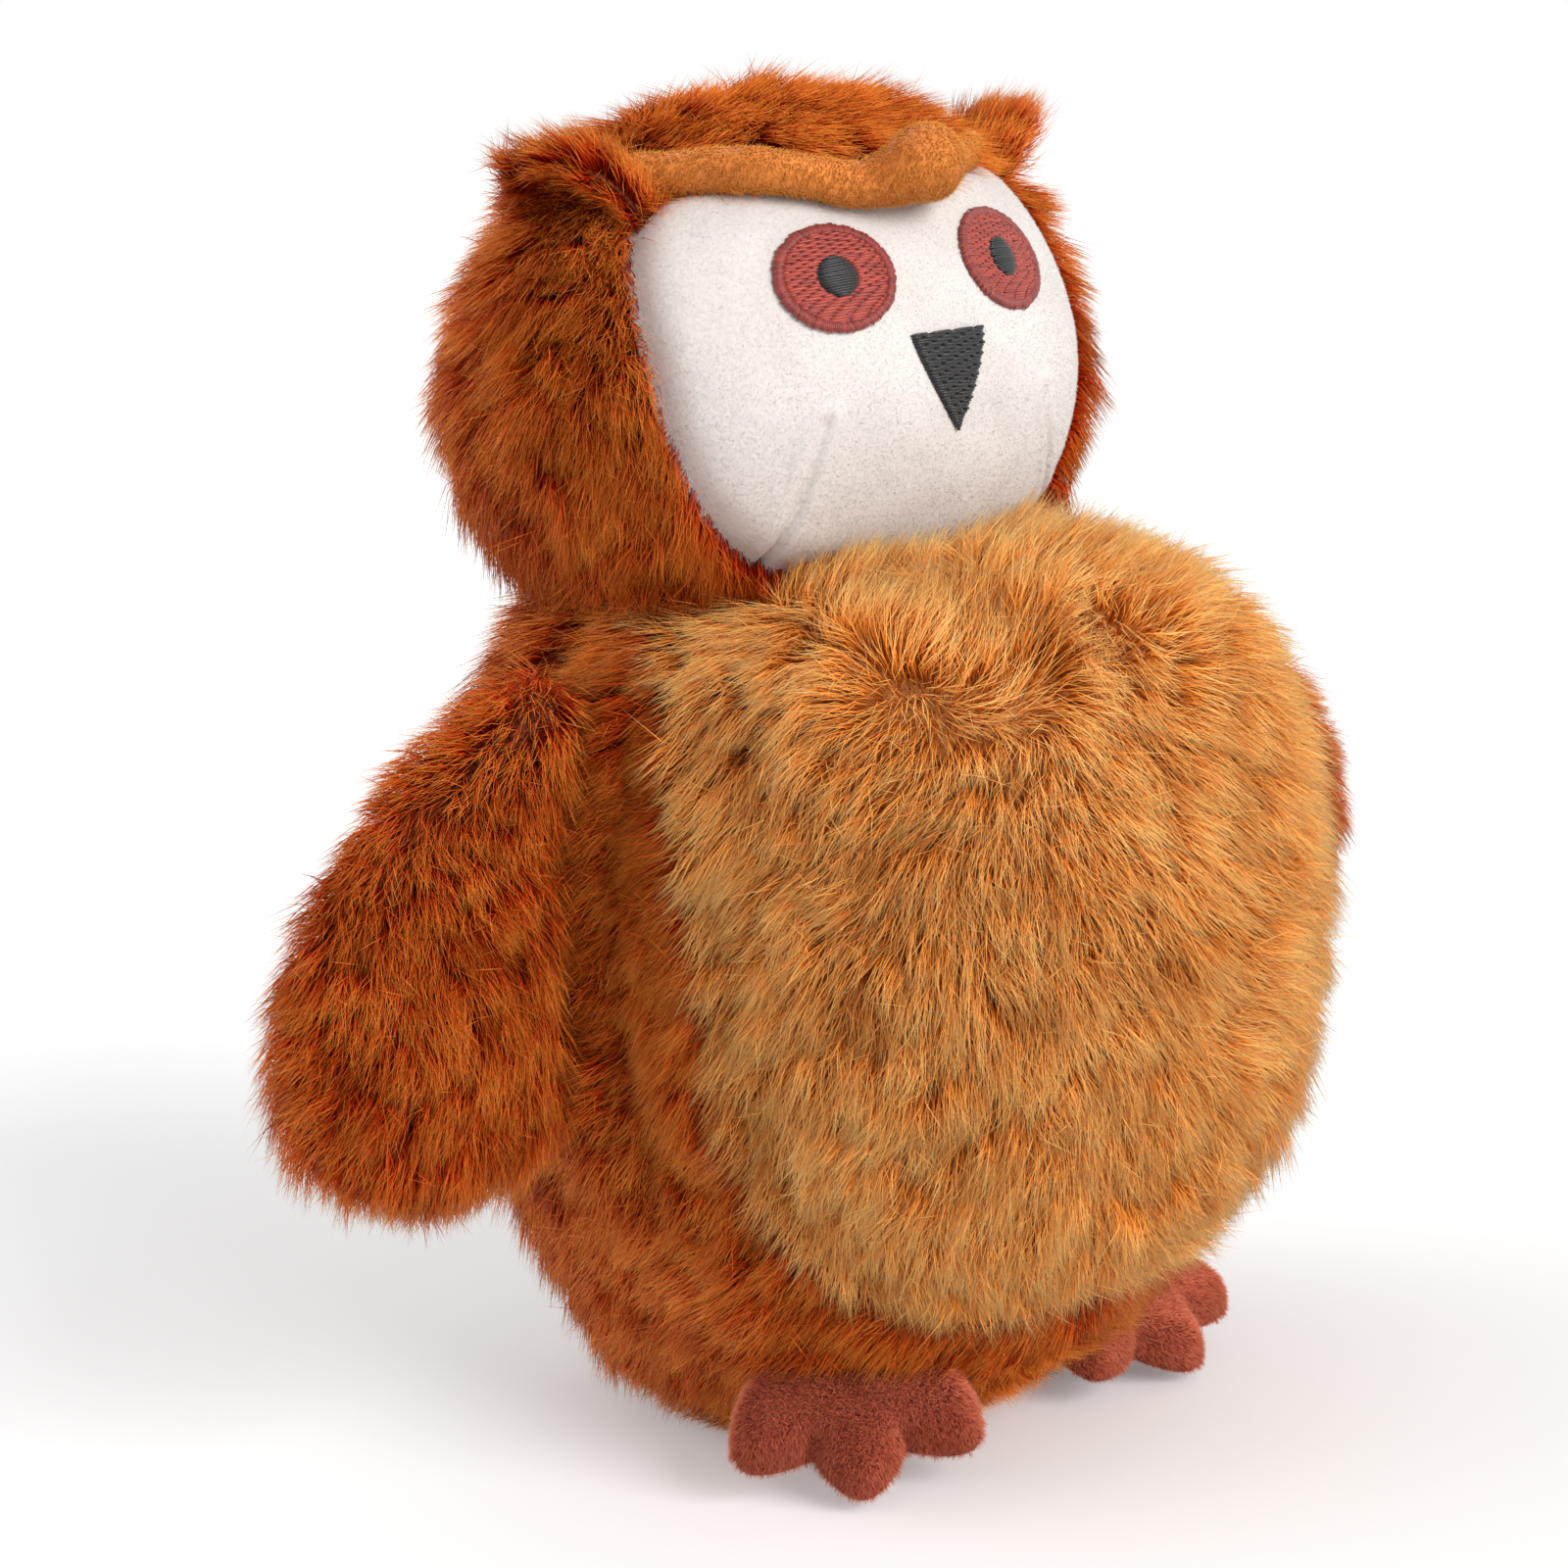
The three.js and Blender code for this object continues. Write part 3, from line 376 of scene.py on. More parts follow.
def lay_flow(points, normals, flow, stray, seed):
    """A combing direction laid into the skin and turned a little from place to place."""
    flow = unit(flow - normals * (flow * normals).sum(1, keepdims=True))
    turn = stray * (lumps(points, STRAY_BROAD, seed) + 0.3 * lumps(points, STRAY_FINE, seed + 5))[:, None]
    return flow * np.cos(turn) + np.cross(normals, flow) * np.sin(turn)


def trim(rows, faces, field):
    """The part of a skin where a field is below 0, cut cleanly along the line where it is 0."""
    low = field[faces] < 0
    count = low.sum(1)
    pieces = [faces[count == 3]]
    made, made_rows = {}, []

    def cut(i, j):
        key = (min(i, j), max(i, j))
        if key not in made:
            made[key] = len(rows) + len(made_rows)
            share = field[i] / (field[i] - field[j])
            made_rows.append(rows[i] + share * (rows[j] - rows[i]))
        return made[key]

    extra = []
    crossed = (count > 0) & (count < 3)
    for face, inside in zip(faces[crossed], low[crossed]):
        lone = int(np.argmax(inside)) if inside.sum() == 1 else int(np.argmin(inside))
        a, b, c = (int(face[(lone + k) % 3]) for k in range(3))
        ab, ac = cut(a, b), cut(a, c)
        extra += [(a, ab, ac)] if inside.sum() == 1 else [(ab, b, c), (ab, c, ac)]
    if extra:
        pieces.append(np.array(extra))
        rows = np.vstack([rows, np.array(made_rows)])
    used, where = np.unique(np.vstack(pieces), return_inverse=True)
    return rows[used], where.reshape(-1, 3)


def cloth(rows, faces, thickness):
    """A panel of cloth as a closed shell, its outer face on the skin."""
    points, normals = rows[:, PLACE], rows[:, NORMAL]
    count = len(points)
    edges = np.vstack([faces[:, [0, 1]], faces[:, [1, 2]], faces[:, [2, 0]]])
    first, times = np.unique(np.sort(edges, 1), axis=0, return_index=True, return_counts=True)[1:]
    rim = edges[first[times == 1]]
    walls = np.vstack([
        np.stack([rim[:, 1], rim[:, 0], rim[:, 0] + count], 1),
        np.stack([rim[:, 1], rim[:, 0] + count, rim[:, 1] + count], 1)])
    return np.vstack([points, points - normals * thickness]), np.vstack([faces, faces[:, ::-1] + count, walls])


def backing_finish(name, dark, light):
    """The knitted backing that shows between the roots of the pile."""
    return speckled_finish(
        name, roughness=0.95, scale=900.0, tones=[(0.35, dark), (0.65, light)], strength=0.5, distance=0.0006)


def pile_finish(name, root, middle, tip, spread):
    """Plush fibre: painted shade at the root, a painted highlight at the tip, and each fibre a little lighter or
    darker.
    """
    finish, nodes, links, shader = new_finish(name, roughness=0.36)
    shader.inputs["Specular IOR Level"].default_value = 0.28
    shader.inputs["Specular Tint"].default_value = tip
    height = nodes.new("ShaderNodeAttribute")
    height.attribute_name = "along"
    tone = nodes.new("ShaderNodeAttribute")
    tone.attribute_name = "shade"
    # Along each fibre: painted shade at the root and a painted highlight at the tip.
    root_shade_tip_highlight = tinted(nodes, links, height.outputs["Fac"], [(0.0, root), (0.45, middle), (1.0, tip)])
    fibre_tint = tinted(nodes, links, tone.outputs["Fac"], [
        (0.0, (1 - 0.9 * spread, 1 - 1.2 * spread, 1 - 1.35 * spread, 1)), (0.5, (1, 1, 1, 1)),
        (1.0, (1 + 0.4 * spread, 1 + spread, 1 + 1.6 * spread, 1))])
    product = nodes.new("ShaderNodeMix")
    product.data_type = "RGBA"
    product.blend_type = "MULTIPLY"
    product.inputs["Factor"].default_value = 1.0
    links.new(root_shade_tip_highlight.outputs["Color"], product.inputs["A"])
    links.new(fibre_tint.outputs["Color"], product.inputs["B"])
    links.new(product.outputs["Result"], shader.inputs["Base Color"])
    return finish


def scatter(rows, faces, count, rng):
    """Roots spread evenly over a skin, and the area of the skin."""
    corners = rows[faces]
    area = np.linalg.norm(face_normals(rows[:, PLACE], faces), axis=1)
    chosen = rng.choice(len(faces), count, p=area / area.sum())
    a, b = np.sqrt(rng.random(count)), rng.random(count)
    share = np.stack([1 - a, a * (1 - b), a * b], 1)[:, :, None]
    return (corners[chosen] * share).sum(1), area.sum() / 2


def mark(piece, name, values):
    """A number at each point of a piece, for its finish to read."""
    piece.data.attributes.new(name, "FLOAT", "POINT").data.foreach_set("value", values.astype(np.float32))


def tone_fibres(piece, fibre_faces, height, swatch, tone):
    """Marks how far up its fibre each point lies and how light the fibre is, and gives each fibre a place
    in a bake by the same two measures."""
    mark(piece, "along", np.tile(height, len(tone)))
    mark(piece, "shade", np.repeat(tone, len(height)))
    start = np.stack([SWATCH_LEFT + SWATCH_SPAN * tone, np.full(len(tone), SWATCH_LOW)], 1)[:, None]
    spots = np.array(swatch)[fibre_faces.ravel()][None] * [1, SWATCH_SPAN] + start
    piece.data.uv_layers.new(name="OFBake").data.foreach_set("uv", spots.astype(np.float32).ravel())


def grow_pile(name, rows, faces, finish, count, seed, width=0.18, tuft=4.2, gather=0.25, floor=None):
    """Fibres on a skin: each is a tapering three-sided strand that rises and lies over along the comb,
    and its tip is drawn towards the middle of its tuft."""
    rng = np.random.default_rng(seed)
    roots, skin_area = scatter(rows, faces, count, rng)
    place, normal, comb = roots[:, PLACE], unit(roots[:, NORMAL]), roots[:, COMB]
    length, lift, patch = roots[:, LENGTH], np.radians(roots[:, LIFT]), roots[:, PATCH]
    middles = rng.choice(count, max(int(skin_area / tuft**2), 1), replace=False)
    tree = kdtree.KDTree(len(middles))
    for k, i in enumerate(middles):
        tree.insert(place[i], k)
    tree.balance()
    own = np.fromiter((tree.find(p)[1] for p in place), int, count)
    tufts = rng.normal(size=(len(middles), 4))
    comb = unit(comb - normal * (comb * normal).sum(1, keepdims=True))
    loose = rng.random(count) < LOOSE_SHARE
    turn = (TUFT_TURN * tufts[own, 0] + np.where(loose, LOOSE_TURN, FIBRE_TURN) * rng.normal(size=count))[:, None]
    comb = comb * np.cos(turn) + np.cross(normal, comb) * np.sin(turn)
    length = length * (1 + TUFT_LENGTH * tufts[own, 1]) * rng.uniform(*FIBRE_LENGTH, count)
    lift = lift + TUFT_LIFT * tufts[own, 2] + FIBRE_LIFT * rng.normal(size=count) + LOOSE_LIFT * loose
    line = [place - ROOT_SUNK * normal]
    for bend in (ROOT_BEND, TIP_BEND):
        angle = np.clip(lift * bend, *BEND_LIMITS)[:, None]
        line.append(line[-1] + (normal * np.sin(angle) + comb * np.cos(angle)) * (length / 2)[:, None])
    line = np.stack(line, 1)
    lead = line[middles][own]
    pull = np.where(loose, 0, gather * rng.uniform(*GATHERED, count))[:, None, None]
    line = line + pull * GATHERED_ALONG[None, :, None] * (lead - line)
    wave = np.cross(normal, comb)
    line[:, 1] += wave * rng.normal(0, MIDDLE_WAVE, (count, 1))
    line[:, 2] += wave * rng.normal(0, TIP_WAVE, (count, 1)) + normal * rng.normal(0, TIP_RISE, (count, 1))
    if floor is not None:
        line[..., 2] = np.maximum(line[..., 2], floor + FLOOR_SPREAD * rng.random((count, 1)))
    run = unit(line[:, 1:] - line[:, :-1])
    across = unit(np.cross(run, normal[:, None, :]) + 1e-6)
    raised = np.cross(across, run)
    roll = rng.uniform(0, 2 * np.pi, count)
    girth = width * rng.uniform(*GIRTHS, count)
    verts = np.zeros((count, 7, 3))
    for ring, thick in [(0, ROOT_HALF), (1, MIDDLE_HALF)]:
        for k in range(3):
            angle = roll + k * 2 * np.pi / 3
            reach = (girth * thick)[:, None]
            verts[:, ring * 3 + k] = line[:, ring] + reach * (
                across[:, ring] * np.cos(angle)[:, None] + raised[:, ring] * np.sin(angle)[:, None])
    verts[:, 6] = line[:, 2]
    strand = np.array([[0, 2, 1], [0, 1, 4], [0, 4, 3], [1, 2, 5], [1, 5, 4], [2, 0, 3], [2, 3, 5],
                       [3, 4, 6], [4, 5, 6], [5, 3, 6]])
    all_faces = (np.arange(count)[:, None, None] * 7 + strand[None]).reshape(-1, 3)
    piece = make_piece(name, verts.reshape(-1, 3), all_faces, finish)
    # The patch column holds mottle, and on the body, wings and ears also painted shade and painted light.
    tone = 0.5 + TUFT_TONE * tufts[own, 3] + FIBRE_TONE * rng.normal(size=count) + PATCH_TONE * patch
    tone_fibres(piece, strand, [0, 0, 0, 0.5, 0.5, 0.5, 1.0], [
        (0, 0), (0.01, 0), (0.005, 0.012), (0, 0.5), (0.01, 0.5), (0.005, 0.512), (0.005, 1.0)], np.clip(tone, 0, 1))
    return piece


def pelt(name, node, body, rows, faces, backing, pile, slot, growth, **fibre_sizes):
    """One sewn panel: its backing stands for the CAD panel, and its pile rides with it."""
    panel = make_piece(name + "_backing", *cloth(rows, faces, BACKING), backing)
    fit(panel, body, node)
    made = [panel]
    for tag, field, count, seed in growth:
        part_rows, part_faces = (rows, faces) if field is None else trim(rows, faces, field(rows))
        fur = grow_pile(name + tag + "_pile", part_rows, part_faces, pile, count, seed, **fibre_sizes)
        fit(fur, body, node)
        made.append(fur)
    return made


def quarter(column, sign, middle, up, level):
    """The field of a quarter of a panel, split at the middle of one column and at a level."""
    return lambda rows: np.maximum(sign * (rows[:, column] - middle), up * (level - rows[:, 2]))


def out_of_head(points, clear):
    """Moves points that lie inside the head's ball out to its skin, so the body has a hollow for it."""
    level = about(0, HEAD_TILT)
    local = (points - HEAD_CENTRE) @ level.T
    size = np.array([HEAD_HALF_WIDTH, HEAD_RADIUS, HEAD_RADIUS]) + clear
    ratio = np.linalg.norm(local / size, axis=1)
    local = local / np.minimum(ratio, 1)[:, None]
    return local @ level + HEAD_CENTRE, ratio


swell = along(BODY_SWELL, np.linspace(0, 1, BODY_RINGS))
turn = np.linspace(0, 2 * np.pi, BODY_SIDES, endpoint=False)
across = np.sign(np.cos(turn)) * np.abs(np.cos(turn)) ** (2 / BODY_SQUARENESS)
deep = np.sign(np.sin(turn)) * np.abs(np.sin(turn)) ** (2 / BODY_SQUARENESS)
reach = np.where(deep[None] < 0, swell[:, 2:3] * CHEST_REACH, swell[:, 3:4] * BACK_REACH)
envelope = np.stack([
    np.outer(swell[:, 1] * BODY_HALF_WIDTH, across), deep[None] * reach,
    np.repeat(swell[:, :1] * BODY_HEIGHT, BODY_SIDES, 1)], -1)
body_points = np.vstack([envelope.reshape(-1, 3), [envelope[0].mean(0), envelope[-1].mean(0)]])
body_faces = capped_faces(BODY_RINGS, BODY_SIDES)
body_normals = outward(body_points, body_faces)
body_x, body_y, body_z = body_points.T
belly_field = np.maximum(
    outline_gap(body_points[:, [0, 2]], closed_outline(BELLY_OUTLINE)) - BELLY_LAP, body_y + BELLY_BACK)
base_field = np.maximum(
    (np.hypot(body_x / BASE_HALF_WIDTH, (body_y - BASE_MIDDLE) / BASE_HALF_LENGTH) - 1) * BASE_HALF_WIDTH,
    body_z - BASE_RISE)

under_wing = np.exp(-((body_y + CREASE_FORWARD) / CREASE_SPREAD) ** 2) * np.clip(
    (body_z - CREASE_LOW) / CREASE_FADE, 0, 1) * np.clip((CREASE_HIGH - body_z) / CREASE_FADE, 0, 1) * (
    np.abs(body_x) > CREASE_OUT)
depth = PILE_DEPTH + SEAM_PULL * np.exp(-(belly_field / SEAM_SPREAD) ** 2)
depth = depth + WING_CREASE * under_wing
depth = depth - BASE_FLATTENED * np.clip(1 - body_z / BASE_FLAT_BELOW, 0, 1) * (base_field < BASE_FLAT_PAST)
depth = depth - BODY_LUMPS * lumps(body_points, 30, 2) - BODY_LUMPS * lumps(body_points, 13, 3)
body_skin, head_ratio = out_of_head(body_points - body_normals * depth[:, None], -PILE_DEPTH + NECK_EASE)
body_normals = outward(body_skin, body_faces)

parting = body_skin[:, [0, 2]] - BELLY_PARTING
rim = np.clip(1 + belly_field / BELLY_RIM, 0, 1)
belly_flow = np.stack([
    (BELLY_OUT + BELLY_OUT * rim) * np.tanh(parting[:, 0] / BELLY_OUT_RUN), np.zeros(len(parting)),
    BELLY_UP * np.clip(parting[:, 1] / BELLY_UP_RUN, 0, 1) - BELLY_DOWN], 1)
at_parting = np.exp(-(np.linalg.norm((parting - PARTING_MIDDLE) / PARTING_SIZE, axis=1)) ** 2)
belly_flow[:, 0] += TANGLE * at_parting * lumps(body_skin, TANGLE_SIZE, 61)
belly_flow[:, 2] += TANGLE * at_parting * lumps(body_skin, TANGLE_SIZE, 62)
from_belly = np.clip(1 - belly_field / FLANK_RUN, FLANK_LEAST, 1)[:, None]
side_flow = np.array([[0, 0, -1.0]]) + from_belly * np.stack(
    [np.sign(body_skin[:, 0]), np.full(len(body_skin), FLANK_BACK), 0 * body_skin[:, 0]], 1)
under = np.clip(-body_normals[:, 2:] * UNDER_GAIN - UNDER_FROM, 0, 1)
side_flow = side_flow * (1 - under) + under * unit(body_skin * [1, 1, 0])
on_belly = belly_field < 0
body_flow = np.where(on_belly[:, None], belly_flow, side_flow)
body_flow = lay_flow(body_skin, body_normals, body_flow, BODY_STRAY, 11)

pile_length = np.where(on_belly, BELLY_PILE, SIDE_PILE) * np.clip(
    SHORTEST + body_skin[:, 2] / SHORT_BELOW, SHORTEST, 1) * (1 - WING_RUBBED * under_wing)
slack = np.exp(-(np.hypot(belly_flow[:, 0], belly_flow[:, 2]) / SLACK_COMB) ** 2)
pile_lift = PILE_LIFT + on_belly * (SLACK_LIFT * slack - PARTING_LIFT * at_parting)
# The pile beside the belly seam is darkened as painted shade in its groove.
valley = np.exp(-(belly_field / VALLEY_SPREAD) ** 2) * ~on_belly
# The belly's parting and the front of each flank are lightened as painted light.
painted_light = np.where(on_belly, at_parting, np.clip((body_skin[:, 1] + FRONT_FROM) / -FRONT_RUN, 0, 1))
patch = mottle(body_skin, 14, 21) - VALLEY_PAINTED_SHADE * valley + PAINTED_LIGHT_TONE * painted_light
body_rows = np.column_stack([
    body_skin, body_normals, body_flow, pile_length, pile_lift, patch, belly_field, base_field, head_ratio])

brown_backing = backing_finish("brown_backing", linear(96, 34, 6), linear(140, 54, 12))
tan_backing = backing_finish("tan_backing", linear(170, 104, 46), linear(206, 134, 66))
brown_pile = pile_finish("brown_pile_fibre", BROWN_ROOT_SHADE, BROWN_MID, BROWN_TIP_HIGHLIGHT, spread=0.7)
tan_pile = pile_finish("tan_pile_fibre", TAN_ROOT_SHADE, TAN_MID, TAN_TIP_HIGHLIGHT, spread=0.48)

open_rows, open_faces = trim(body_rows, body_faces, NECK_EDGE - body_rows[:, HEAD_RATIO])
belly_rows, belly_faces = trim(open_rows, open_faces, open_rows[:, BELLY_FIELD])
belly = pelt("belly", "belly_panel", "torso", belly_rows, belly_faces, tan_backing, tan_pile, "tan_pile", [
    (tag, quarter(0, sign, 0, up, BELLY_SPLIT), 19000, seed) for tag, sign, up, seed in [
        ("_right_upper", 1, 1, 31), ("_right_lower", 1, -1, 32),
        ("_left_upper", -1, 1, 37), ("_left_lower", -1, -1, 38)]], floor=0.4, gather=0.15)
for piece in belly:
    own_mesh(piece)

rest_rows, rest_faces = trim(open_rows, open_faces, 0.1 - open_rows[:, BELLY_FIELD])
base_rows, base_faces = trim(rest_rows, rest_faces, rest_rows[:, BASE_FIELD])
base_rows[:, LENGTH], base_rows[:, LIFT] = BASE_PILE, BASE_LIFT
pelt("base", "base_panel", "torso", base_rows, base_faces, brown_backing, brown_pile, "brown_pile",
     [("", None, 5000, 33)], floor=0.2)

flank_rows, flank_faces = trim(rest_rows, rest_faces, 0.3 - rest_rows[:, BASE_FIELD])
for name, sign, seed in [("right", 1, 141), ("left", -1, 145)]:
    rows, faces = trim(flank_rows, flank_faces, sign * flank_rows[:, 0] + SEAM_GAP)
    pelt("body_" + name, f"body_{name}_panel", "torso", rows, faces, brown_backing, brown_pile, "brown_pile", [
        ("_front_upper", quarter(1, 1, SIDE_MIDDLE, 1, SIDE_SPLIT), 18000, seed),
        ("_front_lower", quarter(1, 1, SIDE_MIDDLE, -1, SIDE_SPLIT), 19000, seed + 1),
        ("_back_upper", quarter(1, -1, SIDE_MIDDLE, 1, SIDE_SPLIT), 15000, seed + 2),
        ("_back_lower", quarter(1, -1, SIDE_MIDDLE, -1, SIDE_SPLIT), 15000, seed + 3)], floor=0.4)

# Closing stitch: waxed brown thread in a ladder stitch that shuts the back seam after stuffing.
# It is sewn by hand from the outside, drawn tight, and it sinks between the piles of the two sides.
STITCH_LOW, STITCH_HIGH, STITCH_PITCH, STITCH_SUNK, STITCH_RISE, THREAD = 60.0, 112.0, 3.2, 0.4, 0.7, 0.45
STITCH_SLANT = np.array([[1.1, 0, 0.5]])
THREAD_SIDES, THREAD_RINGS = 6, 6


def sew(starts, ends, rise, normals, thick):
    """Stitches of thread, each a bowed closed tube from start to end that dives in at both ends."""
    share = np.linspace(0, 1, THREAD_RINGS)
    bow = (1 - (2 * share - 1) ** 4)[None, :, None]
    line = starts[:, None] + share[None, :, None] * (ends - starts)[:, None] + bow * rise * normals[:, None]
    run = unit(ends - starts)
    wide = unit(np.cross(run, normals))
    high = np.cross(wide, run)
    turn = np.linspace(0, 2 * np.pi, THREAD_SIDES, endpoint=False)
    taper = np.where((share == 0) | (share == 1), 0.35, 1.0)[None, :, None, None] * thick
    hoop = wide[:, None, :] * np.cos(turn)[None, :, None] + high[:, None, :] * np.sin(turn)[None, :, None]
    points = line[:, :, None] + taper * hoop[:, None]
    fan = np.arange(1, THREAD_SIDES - 1)
    first = np.stack([0 * fan, fan, fan + 1], 1)
    end = first[:, ::-1] + (THREAD_RINGS - 1) * THREAD_SIDES
    tube = np.vstack([ring_faces(THREAD_RINGS, THREAD_SIDES)[:, ::-1], first, end])
    faces = np.arange(len(starts))[:, None, None] * THREAD_RINGS * THREAD_SIDES + tube[None]
    return points.reshape(-1, 3), faces.reshape(-1, 3)


def thread_finish(name, dark, light):
    """Embroidery thread: rayon with a soft shine, each stitch a little lighter or darker."""
    finish, nodes, links, shader = new_finish(name, roughness=0.42, sheen=0.2)
    stitch_tone = nodes.new("ShaderNodeAttribute")
    stitch_tone.attribute_name = "shade"
    tone = tinted(nodes, links, stitch_tone.outputs["Fac"], [(0.0, dark), (1.0, light)])
    links.new(tone.outputs["Color"], shader.inputs["Base Color"])
    twist = grain(nodes, links, scale=2600.0, detail=2.0)
    roughened(nodes, links, shader, twist.outputs["Fac"], strength=0.3, distance=0.0002)
    return finish


def tone_stitches(piece, tones):
    """Marks how light each stitch is, with one tone for what else the piece has under them."""
    values = np.repeat(tones, THREAD_RINGS * THREAD_SIDES)
    mark(piece, "shade", np.pad(values, (0, len(piece.data.vertices) - len(values)), constant_values=0.35))


brown_thread = thread_finish("brown_thread", linear(88, 38, 14), linear(140, 72, 30))
seam_level = np.arange(STITCH_LOW, STITCH_HIGH, STITCH_PITCH)
back_line = envelope[:, BODY_SIDES // 4]
seam_back = np.interp(seam_level, back_line[:, 2], back_line[:, 1]) - PILE_DEPTH - STITCH_SUNK
rungs = np.stack([np.zeros(len(seam_level)), seam_back, seam_level], 1)
ladder = make_piece("closing_stitch_thread", *sew(
    rungs - STITCH_SLANT, rungs + STITCH_SLANT, STITCH_RISE, np.tile([0, 1.0, 0], (len(rungs), 1)), THREAD),
    brown_thread)
tone_stitches(ladder, 0.5 + 0.3 * np.sin(np.arange(len(rungs)) * 2.1))
fit(ladder, "torso", "closing_stitch")

# Head: a ball of the same brown plush, two hood panels joined over the crown and down the nape,
# with a white velboa face let into the front, stuffed firm and sewn down into the neck opening.
FACE_OUTLINE = [(0, 22), (37, 29), (47.5, -4), (34, -34), (0, -42)]
FACE_EASE, HOOD_DEPTH, HOOD_PILE, HOOD_LIFT, FRINGE = 1.0, 6.4, 11.5, 44, 4
HEAD_RINGS, HEAD_SIDES, POLE = 150, 200, 0.004
LOCK_FROM, LOCK_RUN, LOCK_LOW, LOCK_RISE = 4, 22, 14, 14
CROWN_LOW, CROWN_RISE, BESIDE_SPREAD, BESIDE_TOP = 26, 22, 6, 24
CROWN_LIFT, BESIDE_LIFT, FRINGE_FROM, FRINGE_RUN, HOOD_STRAY = 4, 24, 5, 6, 0.75
FACE_FIELD, BALL_X, BALL_Y, BALL_Z = 12, 13, 14, 15
head_level = about(0, -HEAD_TILT)


def in_place(local):
    """Points of the head's own frame, which leans back, in the frame of the whole toy."""
    return local @ head_level.T + HEAD_CENTRE


def faced(points, faces, out):
    """The faces of a skin, turned over if they look in: out is the way out at each point."""
    return faces[:, ::-1] if (face_normals(points, faces) * out[faces[:, 0]]).sum() < 0 else faces


poles = np.linspace(POLE, np.pi - POLE, HEAD_RINGS)
round_x = np.linspace(0, 2 * np.pi, HEAD_SIDES, endpoint=False)
ball = np.stack([
    np.repeat(np.cos(poles)[:, None], HEAD_SIDES, 1),
    -np.outer(np.sin(poles), np.cos(round_x)),
    np.outer(np.sin(poles), np.sin(round_x))], -1).reshape(-1, 3)
ball_size = np.stack([
    np.full(len(ball), HEAD_HALF_WIDTH), np.full(len(ball), HEAD_RADIUS),
    np.where(ball[:, 2] > 0, HEAD_CROWN, HEAD_RADIUS)], 1)
ball_points = ball * ball_size
ball_x, ball_y, ball_z = ball_points.T
ball_faces = faced(ball_points, ring_faces(HEAD_RINGS, HEAD_SIDES), ball_points)
ball_normals = unit(ball / ball_size)
face_outline = closed_outline(FACE_OUTLINE)
face_field = np.where(ball_y < 0, outline_gap(ball_points[:, [0, 2]], face_outline) - FACE_EASE, 60.0)
hood_depth = HOOD_DEPTH - 0.8 * lumps(ball_points, 26, 4) - 0.9 * lumps(ball_points, 12, 5)
hood_skin = in_place(ball_points - ball_normals * hood_depth[:, None])
hood_normals = ball_normals @ head_level.T

front_lock = np.clip((LOCK_FROM - ball_y) / LOCK_RUN, 0, 1) * np.clip((ball_z - LOCK_LOW) / LOCK_RISE, 0, 1)
crown = np.clip((ball_z - CROWN_LOW) / CROWN_RISE, 0, 1)
beside_face = np.exp(-(face_field / BESIDE_SPREAD) ** 2) * (ball_z < BESIDE_TOP)
hood_flow = np.stack([
    0.25 * np.sign(ball_x) * (1 - crown), 0.35 + 0.5 * crown - 1.7 * front_lock,
    -1.0 + 0.6 * crown - 0.4 * front_lock], 1)
hood_flow = hood_flow + beside_face[:, None] * np.column_stack([-0.3 * np.sign(ball_x), 0 * crown - 0.5, 0 * crown])
hood_flow = lay_flow(hood_skin, hood_normals, hood_flow, HOOD_STRAY, 41)
hood_rows = np.column_stack([
    hood_skin, hood_normals, hood_flow,
    HOOD_PILE + FRINGE * front_lock * (1 - crown) * np.clip((ball_x - FRINGE_FROM) / FRINGE_RUN, 0, 1),
    HOOD_LIFT + CROWN_LIFT * crown + BESIDE_LIFT * beside_face,
    mottle(hood_skin, 13, 23), face_field, ball_points])
hood_rows, hood_faces = trim(hood_rows, ball_faces, 0.2 - hood_rows[:, FACE_FIELD])
for name, sign, seed in [("right", 1, 51), ("left", -1, 52)]:
    rows, faces = trim(hood_rows, hood_faces, sign * hood_rows[:, BALL_X] + SEAM_GAP)
    pelt("hood_" + name, f"hood_{name}_panel", "head", rows, faces, brown_backing, brown_pile, "brown_pile",
         [("_front", lambda rows: np.maximum(-40 - rows[:, BALL_Z], rows[:, BALL_Y] + 4), 19000, seed),
          ("_back", lambda rows: np.maximum(-34 - rows[:, BALL_Z], -4 - rows[:, BALL_Y]), 15000, seed + 4)])
wad("head_stuffing", "head", shrink=0.95)

# Face: one panel of white velboa with a short brushed nap, drawn in along its seam with the hood.
# A sewn dart in each cheek rounds it under the eyes.
FACE_SETBACK, FACE_CLOTH, FACE_NAP, FACE_PITCH = 2.0, 1.2, 0.5, 0.6
FACE_SEAM, FACE_SEAM_SPREAD = 3.2, 3.6
DART = np.array([(24.6, -16.3), (30.6, -37.0)])
DART_SPREAD, DART_LIP, DART_LIP_SPREAD, DART_SINK, DART_DEEPER, DART_LIP_RISE = 0.7, 2.2, 1.4, 0.5, 0.9, 0.5
FACE_LUMPS, FACE_PUCKER = 0.5, 0.12
NAP_TURN, NAP_LEAN, NAP_LEAN_LIMITS, NAP_SUNK, NAP_LENGTHS = 0.6, (0.6, 0.2), (0.2, 1.2), 0.15, (0.6, 1.15)
NAP_FIBRE_TONE, NAP_PATCH_TONE = 0.16, 0.25
NAP_TONE, NAP_FIELD = 9, 10


